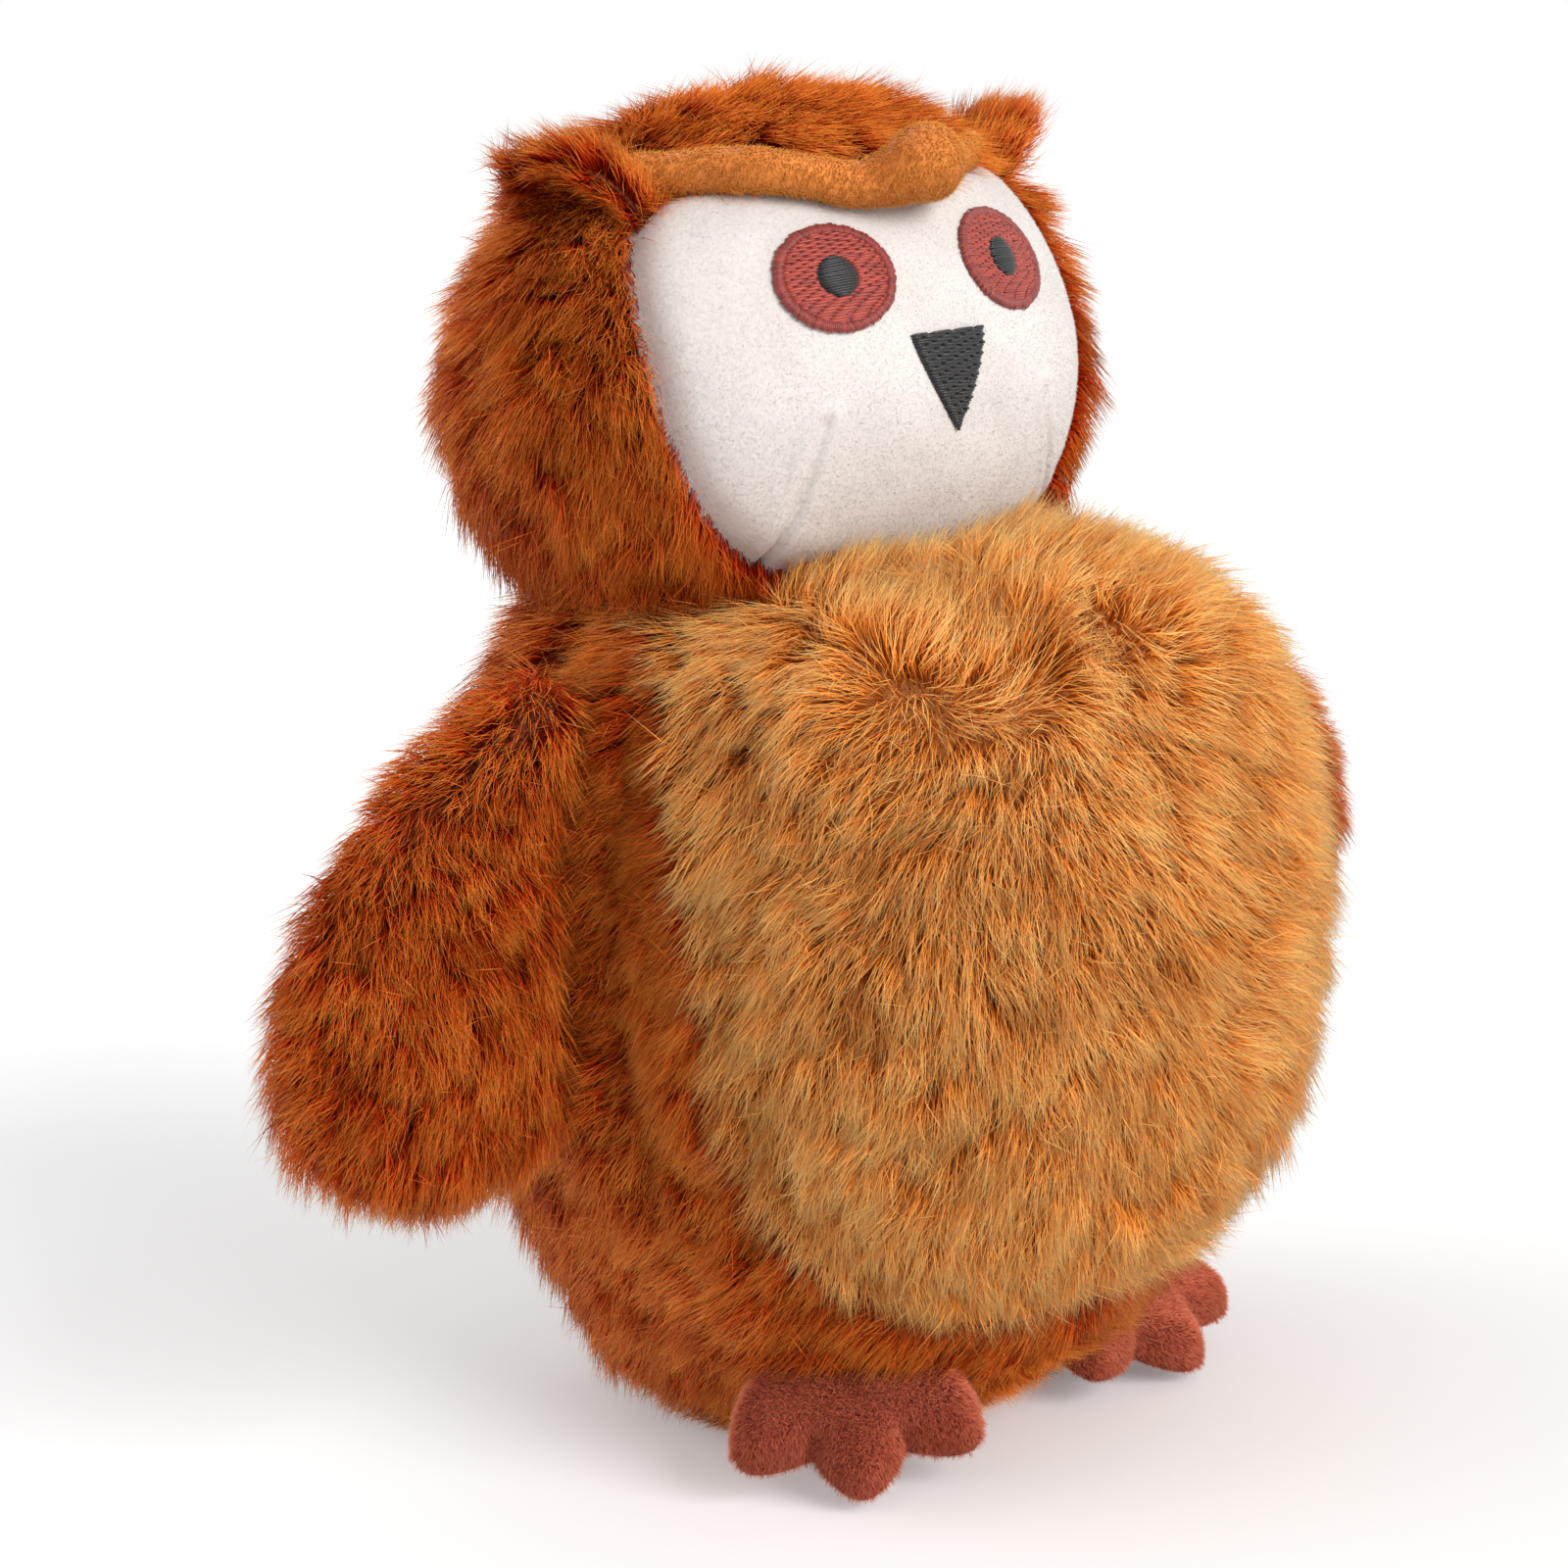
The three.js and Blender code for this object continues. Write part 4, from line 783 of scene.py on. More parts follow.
def velboa_finish(name, dark, light):
    """Short-nap velour: the nap leans in patches, which shows as soft light and dark clouds."""
    finish, nodes, links, shader = new_finish(name, roughness=0.85, sheen=0.35)
    shader.inputs["Sheen Roughness"].default_value = 0.45
    brushed = grain(nodes, links, scale=60.0, detail=4.0)
    fuzz = grain(nodes, links, scale=1400.0, detail=2.0)
    blend = nodes.new("ShaderNodeMath")
    blend.operation = "MULTIPLY_ADD"
    blend.inputs[1].default_value = 0.45
    links.new(fuzz.outputs["Fac"], blend.inputs[0])
    half = nodes.new("ShaderNodeMath")
    half.operation = "MULTIPLY"
    half.inputs[1].default_value = 0.55
    links.new(brushed.outputs["Fac"], half.inputs[0])
    links.new(half.outputs["Value"], blend.inputs[2])
    tone = tinted(nodes, links, blend.outputs["Value"], [(0.32, dark), (0.66, light)])
    links.new(tone.outputs["Color"], shader.inputs["Base Color"])
    roughened(nodes, links, shader, fuzz.outputs["Fac"], strength=0.2, distance=0.0004)
    return finish


def grow_nap(name, rows, faces, finish, count, seed, length, width):
    """Short nap: single tapering spikes that lean along the comb."""
    rng = np.random.default_rng(seed)
    roots = scatter(rows, faces, count, rng)[0]
    place, normal, comb = roots[:, PLACE], unit(roots[:, NORMAL]), unit(roots[:, COMB])
    turn = rng.normal(0, NAP_TURN, count)[:, None]
    comb = comb * np.cos(turn) + np.cross(normal, comb) * np.sin(turn)
    lean = np.clip(rng.normal(*NAP_LEAN, count), *NAP_LEAN_LIMITS)[:, None]
    rise = unit(normal * np.sin(lean) + comb * np.cos(lean))
    across = unit(np.cross(rise, normal) + 1e-6)
    raised = np.cross(across, rise)
    verts = np.zeros((count, 4, 3))
    for k in range(3):
        angle = 2 * np.pi * k / 3
        verts[:, k] = place - NAP_SUNK * normal + width / 2 * (across * np.cos(angle) + raised * np.sin(angle))
    verts[:, 3] = place + rise * (length * rng.uniform(*NAP_LENGTHS, count))[:, None]
    spike = np.array([[0, 2, 1], [0, 1, 3], [1, 2, 3], [2, 0, 3]])
    all_faces = (np.arange(count)[:, None, None] * 4 + spike).reshape(-1, 3)
    piece = make_piece(name, verts.reshape(-1, 3), all_faces, finish)
    tone = np.clip(0.5 + NAP_FIBRE_TONE * rng.normal(size=count) + NAP_PATCH_TONE * roots[:, NAP_TONE], 0, 1)
    tone_fibres(piece, spike, [0, 0, 0, 1.0], [(0, 0), (0.01, 0), (0.005, 0.012), (0.005, 1.0)], tone)
    return piece


def face_depth(flat, proud):
    """The front of the face at places of its own front view, at a height proud of the velboa."""
    size = np.array([HEAD_HALF_WIDTH, HEAD_RADIUS]) - FACE_SETBACK
    up = np.where(flat[:, 1] > 0, HEAD_CROWN, HEAD_RADIUS) - FACE_SETBACK
    deep = -size[1] * np.sqrt(np.clip(1 - (flat[:, 0] / size[0]) ** 2 - (flat[:, 1] / up) ** 2, 0.0, 1))
    spot = np.column_stack([flat[:, 0], deep, flat[:, 1]])
    normal = unit(spot / np.column_stack([np.full(len(flat), size[0] ** 2), np.full(len(flat), size[1] ** 2), up**2]))
    return spot + proud * normal, normal


def flat_grid(columns, levels):
    """A flat grid of points and its triangles, row by row."""
    wide = len(columns)
    corner = (np.arange(len(levels) - 1)[:, None] * wide + np.arange(wide - 1)[None]).reshape(-1)
    return np.stack(np.meshgrid(columns, levels), -1).reshape(-1, 2), np.vstack([
        np.stack([corner, corner + 1, corner + wide + 1], 1), np.stack([corner, corner + wide + 1, corner + wide], 1)])


flat, flat_faces = flat_grid(np.arange(-52.8, 52.9, FACE_PITCH), np.arange(-46.8, 35.5, FACE_PITCH))
flat_field = outline_gap(flat, face_outline) - FACE_EASE
smooth_face, smooth_normals = face_depth(flat, 0.0)
dart_run = DART[1] - DART[0]
away = np.column_stack([np.abs(flat[:, 0]), flat[:, 1]]) - DART[0]
dart_share = np.clip((away @ dart_run) / (dart_run @ dart_run), 0, 1)
dart_gap = np.linalg.norm(away - dart_share[:, None] * dart_run, axis=1)
dart_fold, dart_lip = (
    np.exp(-(gap / spread) ** 2) for gap, spread in [(dart_gap, DART_SPREAD), (dart_gap - DART_LIP, DART_LIP_SPREAD)])
dart_sink = (DART_SINK + DART_DEEPER * dart_share) * dart_fold - DART_LIP_RISE * dart_lip
sink = FACE_SEAM * np.exp(-(flat_field / FACE_SEAM_SPREAD) ** 2) + dart_sink
sink = sink - FACE_LUMPS * lumps(smooth_face, 22, 6) - FACE_PUCKER * lumps(smooth_face, 5, 7)
face_local = smooth_face - smooth_normals * sink[:, None]
face_local_normals = outward(face_local, flat_faces)
nap_flow = lay_flow(face_local, face_local_normals, np.tile([-0.3, 0, -1.0], (len(flat), 1)), 0.5, 61)
face_rows = np.column_stack([
    in_place(face_local), face_local_normals @ head_level.T, nap_flow @ head_level.T,
    lumps(face_local, 12, 62), flat_field])
face_rows, face_faces = trim(face_rows, flat_faces, face_rows[:, NAP_FIELD])
white_velboa = velboa_finish("white_velboa_cloth", linear(200, 193, 187), linear(219, 213, 208))
# The nap darkens towards its root as painted shade and lightens towards its tip as a painted highlight.
white_nap = pile_finish(
    "white_velboa_nap", linear(202, 195, 189), linear(215, 209, 204), linear(226, 222, 218), spread=0.03)
face = make_piece("face_cloth", *cloth(face_rows, face_faces, FACE_CLOTH), white_velboa)
face_nap = grow_nap("face_nap", face_rows, face_faces, white_nap, 40000, 63, FACE_NAP, 0.13)
fit(face, "head", "face_panel")
fit(face_nap, "head", "face_panel")

# Eyes and beak: machine embroidery in rayon thread through the face cloth, before it is sewn up.
# Each iris is rows of short fill stitches inside a satin rim, and each pupil and the beak are filled in rows.
EYE_SPREAD, EYE_HEIGHT, EYE_HALF_WIDTH, EYE_HALF_HEIGHT, PUPIL_RADIUS = 18.0, 6.5, 10.4, 9.4, 3.4
RIM_WIDTH, RIM_LAP, RIM_SLANT, RIM_STITCHES, EYE_SIDES = 1.9, 0.4, 0.05, 190, 72
ROW_PITCH, ROW_STEPS, FILL_LENGTH, FILL_THREAD, PAD_PROUD, PAD_SUNK = 0.42, 400, 3.4, 0.27, 0.3, -0.4
PAD_RINGS = (0.02, 0.35, 0.7, 0.9, 0.97)
STAGGER_FROM, STAGGER_ROWS, STITCH_WOBBLE, STITCH_TONE, RIM_JAG = 0.4, 3, 0.05, 0.14, 0.12
PUPIL_STITCH, PUPIL_LAP, PUPIL_PROUD = 9.0, 0.1, 0.2
BEAK_HALF_WIDTH, BEAK_TOP, BEAK_TIP, BEAK_STITCH = 8.0, -5.0, -21.0, 5.0
red_thread = thread_finish("red_thread", linear(106, 28, 23), linear(180, 66, 50))
black_thread = thread_finish("black_thread", linear(14, 13, 13), linear(42, 40, 40))


def fill_rows(inside, box, length, rng, stagger=True):
    """Rows of fill stitches across a shape, as start and end places in the face's front view."""
    starts, ends = [], []
    low, high, left, right = box
    for row, z in enumerate(np.arange(low + ROW_PITCH / 2, high, ROW_PITCH)):
        x = np.linspace(left, right, ROW_STEPS)
        held = inside(x, np.full(ROW_STEPS, z))
        for run in np.split(np.arange(ROW_STEPS), np.flatnonzero(np.diff(held.astype(int))) + 1):
            if held[run[0]] and len(run) > 3:
                first, final = x[run[0]], x[run[-1]]
                offset = (STAGGER_FROM + (row % STAGGER_ROWS) / STAGGER_ROWS) * length
                inner = np.arange(first + offset, final - 0.5, length) if stagger else []
                cuts = np.concatenate([[first], inner, [final]])
                starts += [(p, z + rng.normal(0, STITCH_WOBBLE)) for p in cuts[:-1]]
                ends += [(p, z + rng.normal(0, STITCH_WOBBLE)) for p in cuts[1:]]
    return np.array(starts), np.array(ends)


def embroider(name, node, finish, outline, stitch_sets, rng):
    """A padded patch of stitching that follows the face: a thin ground of thread and the stitches on it."""
    points, faces, tones = [], [], []
    total = 0
    for starts, ends, proud, rise, tone in stitch_sets:
        first, normals = face_depth(starts, proud)
        final = face_depth(ends, proud)[0]
        made_points, made_faces = sew(
            in_place(first), in_place(final), rise, normals @ head_level.T, FILL_THREAD)
        points.append(made_points)
        faces.append(made_faces + total)
        tones.append(np.clip(tone + STITCH_TONE * rng.normal(size=len(starts)), 0, 1))
        total += len(made_points)
    middle = outline.mean(0)
    rings = [middle + (outline - middle) * share for share in PAD_RINGS]
    top = [face_depth(ring, PAD_PROUD)[0] for ring in rings]
    bottom = [face_depth(ring, PAD_SUNK)[0] for ring in rings[::-1]]
    ground = in_place(np.vstack(top + bottom))
    ground_faces = ring_faces(2 * len(rings), len(outline), closed_rings=True)
    if (face_normals(ground, ground_faces)[: len(outline)] * (head_level @ [0, -1, 0])).sum() < 0:
        ground_faces = ground_faces[:, ::-1]
    patch = make_piece(name, np.vstack(points + [ground]), np.vstack(faces + [ground_faces + total]), finish)
    tone_stitches(patch, np.concatenate(tones))
    fit(patch, "head", node)


def ring_of(count, ahead=0.0):
    """Places evenly round a circle of radius 1."""
    turn = np.linspace(0, 2 * np.pi, count, endpoint=False) + ahead
    return np.column_stack([np.cos(turn), np.sin(turn)])


def beak_half_width(z):
    """The beak's half width at a height: full at the top and rounded in to its tip."""
    share = np.clip((BEAK_TOP - z) / (BEAK_TOP - BEAK_TIP), 0, 1)
    return BEAK_HALF_WIDTH * (1 - share**1.35) ** 0.9


eye_size = np.array([EYE_HALF_WIDTH, EYE_HALF_HEIGHT])
fill_size = eye_size - RIM_WIDTH + RIM_LAP
spokes, rim, slant = ring_of(EYE_SIDES), ring_of(RIM_STITCHES), ring_of(RIM_STITCHES, RIM_SLANT)
for name, sign, seed in [("right", -1, 71), ("left", 1, 72)]:
    rng = np.random.default_rng(seed)
    eye_x, eye_z = centre = np.array([sign * EYE_SPREAD, EYE_HEIGHT])
    starts, ends = fill_rows(
        lambda x, z: (np.hypot((x - eye_x) / fill_size[0], (z - eye_z) / fill_size[1]) < 1)
        & (np.hypot(x - eye_x, z - eye_z) > PUPIL_RADIUS - PUPIL_LAP),
        (eye_z - EYE_HALF_HEIGHT, eye_z + EYE_HALF_HEIGHT, eye_x - EYE_HALF_WIDTH, eye_x + EYE_HALF_WIDTH),
        FILL_LENGTH, rng)
    jag = rng.normal(0, RIM_JAG, (RIM_STITCHES, 1))
    rim_starts, rim_ends = centre + rim * (eye_size - RIM_WIDTH + 0.5 * jag), centre + slant * (eye_size + jag)
    embroider(f"{name}_iris_stitching", f"{name}_iris", red_thread, centre + spokes * eye_size, [
        (starts, ends, PAD_PROUD, 0.3, 0.66), (rim_starts, rim_ends, PAD_PROUD, 0.55, 0.3)], rng)
    starts, ends = fill_rows(
        lambda x, z: np.hypot(x - eye_x, z - eye_z) < PUPIL_RADIUS + PUPIL_LAP,
        (eye_z - PUPIL_RADIUS, eye_z + PUPIL_RADIUS, eye_x - 5, eye_x + 5), PUPIL_STITCH, rng, stagger=False)
    embroider(f"{name}_pupil_stitching", f"{name}_pupil", black_thread,
              centre + spokes * PUPIL_RADIUS * 0.96, [(starts, ends, PAD_PROUD + PUPIL_PROUD, 0.4, 0.45)], rng)

rng = np.random.default_rng(73)
starts, ends = fill_rows(lambda x, z: np.abs(x) < beak_half_width(z), (BEAK_TIP, BEAK_TOP, -9, 9), BEAK_STITCH, rng)
level = np.linspace(BEAK_TIP + 0.1, BEAK_TOP, 24)
beak_line = np.vstack([
    np.column_stack([beak_half_width(level), level]), np.column_stack([-beak_half_width(level), level])[::-1]])
embroider("beak_stitching", "beak", black_thread, beak_line,
          [(starts, ends, PAD_PROUD, 0.5, 0.45)], rng)

# Brow roll: a tube of tan velboa, turned and stuffed, with a rounded knob in its middle over the beak.
# It is sewn along the top of the face with its ends under the ear tufts.
BROW_LINE = np.array([
    (-43, 35, 1.6), (-25, 27.5, 1.8), (-10, 21, 2.4), (0, 22, 7.5), (9, 23, -0.4), (25, 28, -0.6), (43, 35, 0.6)])
BROW_RADIUS, BROW_KNOB_RADIUS, BROW_FAR_RADIUS, KNOB_SPREAD, FAR_RUN, BROW_TAIL = 4.2, 7.0, 3.5, 6, 8, 0.25
BROW_RINGS, BROW_SIDES, BROW_END, BROW_NAP, BROW_NAP_DEPTH, BROW_CORE = 140, 36, 0.1, 1.25, 0.9, 0.72
brow_x, brow_z, brow_proud = BROW_LINE.T
brow_depth = -HEAD_RADIUS * np.sqrt(np.clip(1 - (brow_x / HEAD_HALF_WIDTH) ** 2 - (brow_z / HEAD_CROWN) ** 2, 0, 1))
brow_path = along(np.column_stack([brow_x, brow_depth - brow_proud, brow_z]), np.linspace(0, 1, BROW_RINGS))
brow_run = unit(np.gradient(brow_path, axis=0))
brow_up = unit(np.cross(brow_run, [0, 1.0, 0]))
brow_out = np.cross(brow_up, brow_run)
run_share = np.linspace(-1, 1, BROW_RINGS)
end_round = np.sqrt(np.clip(1 - ((np.abs(run_share) - (1 - BROW_END)) / BROW_END).clip(0, 1) ** 2, 0, 1))
brow_half = BROW_RADIUS + (BROW_FAR_RADIUS - BROW_RADIUS) * np.clip(brow_path[:, 0] / FAR_RUN, 0, 1)
brow_girth = (brow_half + (BROW_KNOB_RADIUS - brow_half) * np.exp(-(brow_path[:, 0] / KNOB_SPREAD) ** 2)) * (
    BROW_TAIL + (1 - BROW_TAIL) * end_round) - BROW_NAP_DEPTH


def brow_tube(girth):
    """The roll at a girth along its run, with a hub point at each end."""
    hoop = np.linspace(0, 2 * np.pi, BROW_SIDES, endpoint=False)
    rings = brow_path[:, None] + girth[:, None, None] * (
        brow_up[:, None] * np.cos(hoop)[None, :, None] + brow_out[:, None] * np.sin(hoop)[None, :, None])
    return np.vstack([rings.reshape(-1, 3), brow_path[:1], brow_path[-1:]])


brow_points = brow_tube(brow_girth)
brow_faces = faced(brow_points, capped_faces(BROW_RINGS, BROW_SIDES), brow_points - brow_tube(0 * brow_girth))
brow_normals = outward(brow_points, brow_faces)
brow_points = brow_points + brow_normals * (0.35 * lumps(brow_points, 7, 81))[:, None]
brow_flow = lay_flow(brow_points, brow_normals, np.tile([0.2, 0, -1.0], (len(brow_points), 1)), 0.9, 82)
brow_rows = np.column_stack([
    in_place(brow_points), brow_normals @ head_level.T, brow_flow @ head_level.T, lumps(brow_points, 3, 83)])
tan_velboa = velboa_finish("tan_velboa_cloth", linear(190, 106, 36), linear(222, 138, 60))
# The nap darkens towards its root as painted shade and lightens towards its tip as a painted highlight.
tan_nap = pile_finish(
    "tan_velboa_nap", linear(186, 100, 32), linear(220, 134, 54), linear(240, 168, 84), spread=0.22)
brow = make_piece("brow_roll_cloth", brow_rows[:, PLACE], brow_faces, tan_velboa)
brow_nap = grow_nap("brow_roll_nap", brow_rows, brow_faces, tan_nap, 22000, 84, BROW_NAP, 0.22)
fit(brow, "head", "brow_roll_cover")
fit(brow_nap, "head", "brow_roll_cover")
brow_core = brow_tube(BROW_CORE * brow_girth)
brow_core = brow_core + brow_normals * (0.3 * lumps(brow_core, 3, 85))[:, None]
core = make_piece("brow_roll_stuffing_wad", in_place(brow_core), brow_faces, fibre)
fit(core, "head", "brow_roll_stuffing")

# Ear tufts: cupped flaps of brown plush, folded double and sewn into the hood seams above the brow ends.
# The pile stands up around the cup and hides its edge.
EAR_SPREAD, EAR_FORWARD, EAR_HEIGHT, EAR_LEAN = 44.0, 19.0, 29.0, math.radians(46)
EAR_HALF, EAR_PILE_DEPTH, EAR_CUP = np.array([7.5, 15.0, 14.5]), 3.0, 8.0
EAR_PILE, EAR_CUP_PILE, EAR_LIFT, EAR_RINGS, EAR_SIDES, EAR_POLE = 9.0, 5.5, 38.0, 40, 56, 0.05
EAR_STRAY, EAR_CUP_PAINTED_SHADE, EAR_FRONT_PAINTED_LIGHT = 0.6, 2.4, 0.9
theta = np.linspace(EAR_POLE, np.pi - EAR_POLE, EAR_RINGS)
phi = np.linspace(0, 2 * np.pi, EAR_SIDES, endpoint=False)
egg = np.stack([np.outer(np.sin(theta), np.cos(phi)), np.outer(np.sin(theta), np.sin(phi)),
                np.repeat(np.cos(theta)[:, None], EAR_SIDES, 1)], -1).reshape(-1, 3)
fan = np.arange(1, EAR_SIDES - 1)
lid = np.stack([0 * fan, fan, fan + 1], 1)
ear_faces = np.vstack([
    ring_faces(EAR_RINGS, EAR_SIDES)[:, ::-1], lid, (EAR_RINGS - 1) * EAR_SIDES + lid[:, [0, 2, 1]]])
for name, sign, seed in [("right", -1, 91), ("left", 1, 92)]:
    shape = egg * (EAR_HALF - EAR_PILE_DEPTH)
    cup = np.clip(sign * egg[:, 0], 0, 1)
    shape[:, 0] -= sign * EAR_CUP * cup**1.5
    upright = about(1, sign * EAR_LEAN)
    local = shape @ upright.T + [sign * EAR_SPREAD, -EAR_FORWARD, EAR_HEIGHT]
    local_normals = outward(shape, ear_faces) @ upright.T
    flow = np.tile([sign * 0.5, 0.1, 1.0], (len(local), 1)) + 0.6 * egg * [0, 1, 0]
    # The cup's pile is darkened as painted shade in its hollow.
    # The front of the ear is lightened as painted light.
    ear_rows = np.column_stack([
        in_place(local), local_normals @ head_level.T,
        lay_flow(local, local_normals, flow, EAR_STRAY, seed) @ head_level.T,
        EAR_PILE - EAR_CUP_PILE * cup, np.full(len(local), EAR_LIFT),
        lumps(local, 6, seed + 4) - EAR_CUP_PAINTED_SHADE * cup + EAR_FRONT_PAINTED_LIGHT * np.clip(-egg[:, 1], 0, 1)])
    pelt(f"{name}_ear_tuft", f"{name}_ear_tuft", "head", ear_rows, ear_faces, brown_backing, brown_pile, "brown_pile",
         [("", None, 7500, seed)], tuft=3.0)

# Wings: flat paddles of brown plush, a front and a back panel sewn round the edge, turned and lightly stuffed.
# Each is sewn to the body along its shoulder and hangs against the flank, hinging in the cloth.
SHOULDER_SPREAD, SHOULDER_FORWARD, SHOULDER_HEIGHT = 70.38, 8.0, 138.0
SHOULDER_RUN, SHOULDER_IN, SHOULDER_SUNK, FLANK_CLEAR = 18, 8, 6, 0.6
WING_LENGTH, WING_HALF_WIDTH, WING_HALF_THICKNESS, WING_TOP = 85.0, 31.0, 16.0, 0.08
WING_SWELL = np.array([
    (1, 0.2, 0.25), (0.97, 0.48, 0.52), (0.88, 0.82, 0.82), (0.7, 1, 1), (0.47, 0.94, 0.98), (0.24, 0.7, 0.88),
    (0.08, 0.45, 0.76), (0, 0.32, 0.66), (-0.05, 0.2, 0.46), (-0.075, 0.08, 0.2)])
WING_RINGS, WING_SIDES, WING_FACING = 90, 96, 12
WING_PILE_DEPTH, WING_SEAM, WING_SEAM_SPREAD, WING_PILE, WING_LIFT = 5.6, 1.2, 0.12, 10.5, 42
WING_LUMPS, WING_FAN, WING_DROOP, WING_STRAY = 0.8, 0.55, 0.3, 0.6
SHOULDER_OUT, SHOULDER_LIFT, SHOULDER_PAINTED_LIGHT = 0.5, 16, 0.6
FOLDED, LEFT_RAISED = math.radians(20), math.radians(8)
body_run = along(BODY_SWELL, np.linspace(0, 1, 600))


def body_reach(z):
    """The body's half width, its chest's reach and its back's reach at a height."""
    level = np.clip(z / BODY_HEIGHT, 0, 1)
    wide, front, back = (np.interp(level, body_run[:, 0], body_run[:, k]) for k in (1, 2, 3))
    return wide * BODY_HALF_WIDTH, front * CHEST_REACH, back * BACK_REACH


def body_side(y, z):
    """How far out the side of the body lies at a depth and a height."""
    wide, front, back = body_reach(z)
    share = np.clip(np.abs(y) / np.where(y < 0, front, back), 0, 1)
    return wide * (1 - share**BODY_SQUARENESS) ** (1 / BODY_SQUARENESS)


stations = along(WING_SWELL, np.linspace(0, 1, WING_RINGS))
hoop = np.linspace(0, 2 * np.pi, WING_SIDES, endpoint=False)
paddle = np.stack([
    np.outer(stations[:, 1] * WING_HALF_WIDTH, np.cos(hoop)),
    np.outer(stations[:, 2] * WING_HALF_THICKNESS, np.sin(hoop)),
    np.repeat(-stations[:, :1] * WING_LENGTH, WING_SIDES, 1)], -1).reshape(-1, 3)
paddle = np.vstack([paddle, [[0, 0, -WING_LENGTH]], [[0, 0, WING_TOP * WING_LENGTH]]])
wing_faces = capped_faces(WING_RINGS, WING_SIDES)
paddle_normals = outward(paddle, wing_faces)
if (paddle_normals[:-2] * paddle[:-2] * [1, 1, 0]).sum() < 0:
    wing_faces, paddle_normals = wing_faces[:, ::-1], -paddle_normals
shoulder = np.clip(1 + paddle[:, 2] / SHOULDER_RUN, 0, 1)
edge_seam = np.exp(-(np.abs(paddle_normals[:, 1]) / WING_SEAM_SPREAD) ** 2)
for name, sign, raised, seed in [("right", -1, 0.0, 101), ("left", 1, LEFT_RAISED, 105)]:
    skin = paddle - paddle_normals * (WING_PILE_DEPTH - WING_LUMPS * lumps(paddle, 20, seed))[:, None]
    skin = skin - paddle_normals * (WING_SEAM * edge_seam)[:, None]
    fold, swing = about(1, -sign * FOLDED), about(1, -sign * raised)
    hung = skin @ fold.T
    limit = body_side(hung[:, 1] - SHOULDER_FORWARD, hung[:, 2] + SHOULDER_HEIGHT) - SHOULDER_SPREAD + FLANK_CLEAR
    hung[:, 0] -= sign * SHOULDER_IN * shoulder**2
    hung[:, 0] = sign * np.maximum(sign * hung[:, 0], limit - SHOULDER_SUNK * shoulder)
    hung_normals = outward(hung, wing_faces) @ swing.T
    wing_skin = hung @ swing.T + [sign * SHOULDER_SPREAD, -SHOULDER_FORWARD, SHOULDER_HEIGHT]
    tipward = (fold.T[2] * -1) @ swing.T
    spread = (paddle[:, :1] / WING_HALF_WIDTH) * (fold.T[0] @ swing.T)
    flow = tipward + WING_FAN * spread + [[0, 0, -WING_DROOP]] + SHOULDER_OUT * shoulder[:, None] * [[sign, 0, 0]]
    flow = lay_flow(wing_skin, hung_normals, flow, WING_STRAY, seed + 1)
    # The shoulder is lightened as painted light over the shade where the pile parts there.
    wing_rows = np.column_stack([
        wing_skin, hung_normals, flow, np.full(len(wing_skin), WING_PILE), WING_LIFT + SHOULDER_LIFT * shoulder,
        mottle(wing_skin, 12, seed + 2) + SHOULDER_PAINTED_LIGHT * shoulder, paddle[:, 1]])
    for part, facing, count in [("front", 1, 14000), ("back", -1, 12000)]:
        rows, faces = trim(wing_rows, wing_faces, facing * wing_rows[:, WING_FACING] + SEAM_GAP)
        pelt(f"{name}_wing_{part}", f"{name}_wing_{part}_panel", f"{name}_wing", rows, faces, brown_backing,
             brown_pile, "brown_pile", [("", None, count, seed + 3 + facing)])
    wad(f"{name}_wing_stuffing", f"{name}_wing", shrink=0.72)

# Feet: three-toed pads of maroon velboa, an upper and a sole sewn round the edge and stuffed,
# each sewn on by its heel under the front of the body, so that it flaps.
RIGHT_ANKLE, RIGHT_TURN, RIGHT_SLOPE = np.array([-31.0, -36.5, 20.7]), math.radians(-36), math.radians(33)
LEFT_ANKLE, LEFT_TURN, LEFT_SLOPE = np.array([29.0, -31.0, 17.0]), math.radians(10), math.radians(24)
FOOT_PAD, FOOT_MIDDLE, FOOT_PITCH = ((0.0, -8.0), (16.5, 12.0)), np.array([0.0, -11.0]), 0.55
TOE_CENTRE, TOE_HALF, TOE_TAPER, TOE_FAN = (0.0, -17.0), (8.4, 11.0), 0.3, math.radians(45)
SOLE_DROP, SEAM_RISE, FOOT_SWELL, TOE_SWELL, SOLE_SWELL = 6.0, 2.4, 8.6, 7.0, 1.6
EDGE_ROUND, HEEL_SUNK, FOOT_CLOTH, UPPER_NAP, SOLE_NAP = 5.0, 3.5, 0.7, 2.0, 0.7
HEEL_FIELD = 11
maroon_velboa = velboa_finish("maroon_velboa_cloth", linear(112, 40, 28), linear(146, 60, 44))
# The nap darkens towards its root as painted shade and lightens towards its tip as a painted highlight.
maroon_nap = pile_finish(
    "maroon_velboa_nap", linear(92, 26, 14), linear(180, 68, 46), linear(244, 150, 114), spread=0.42)


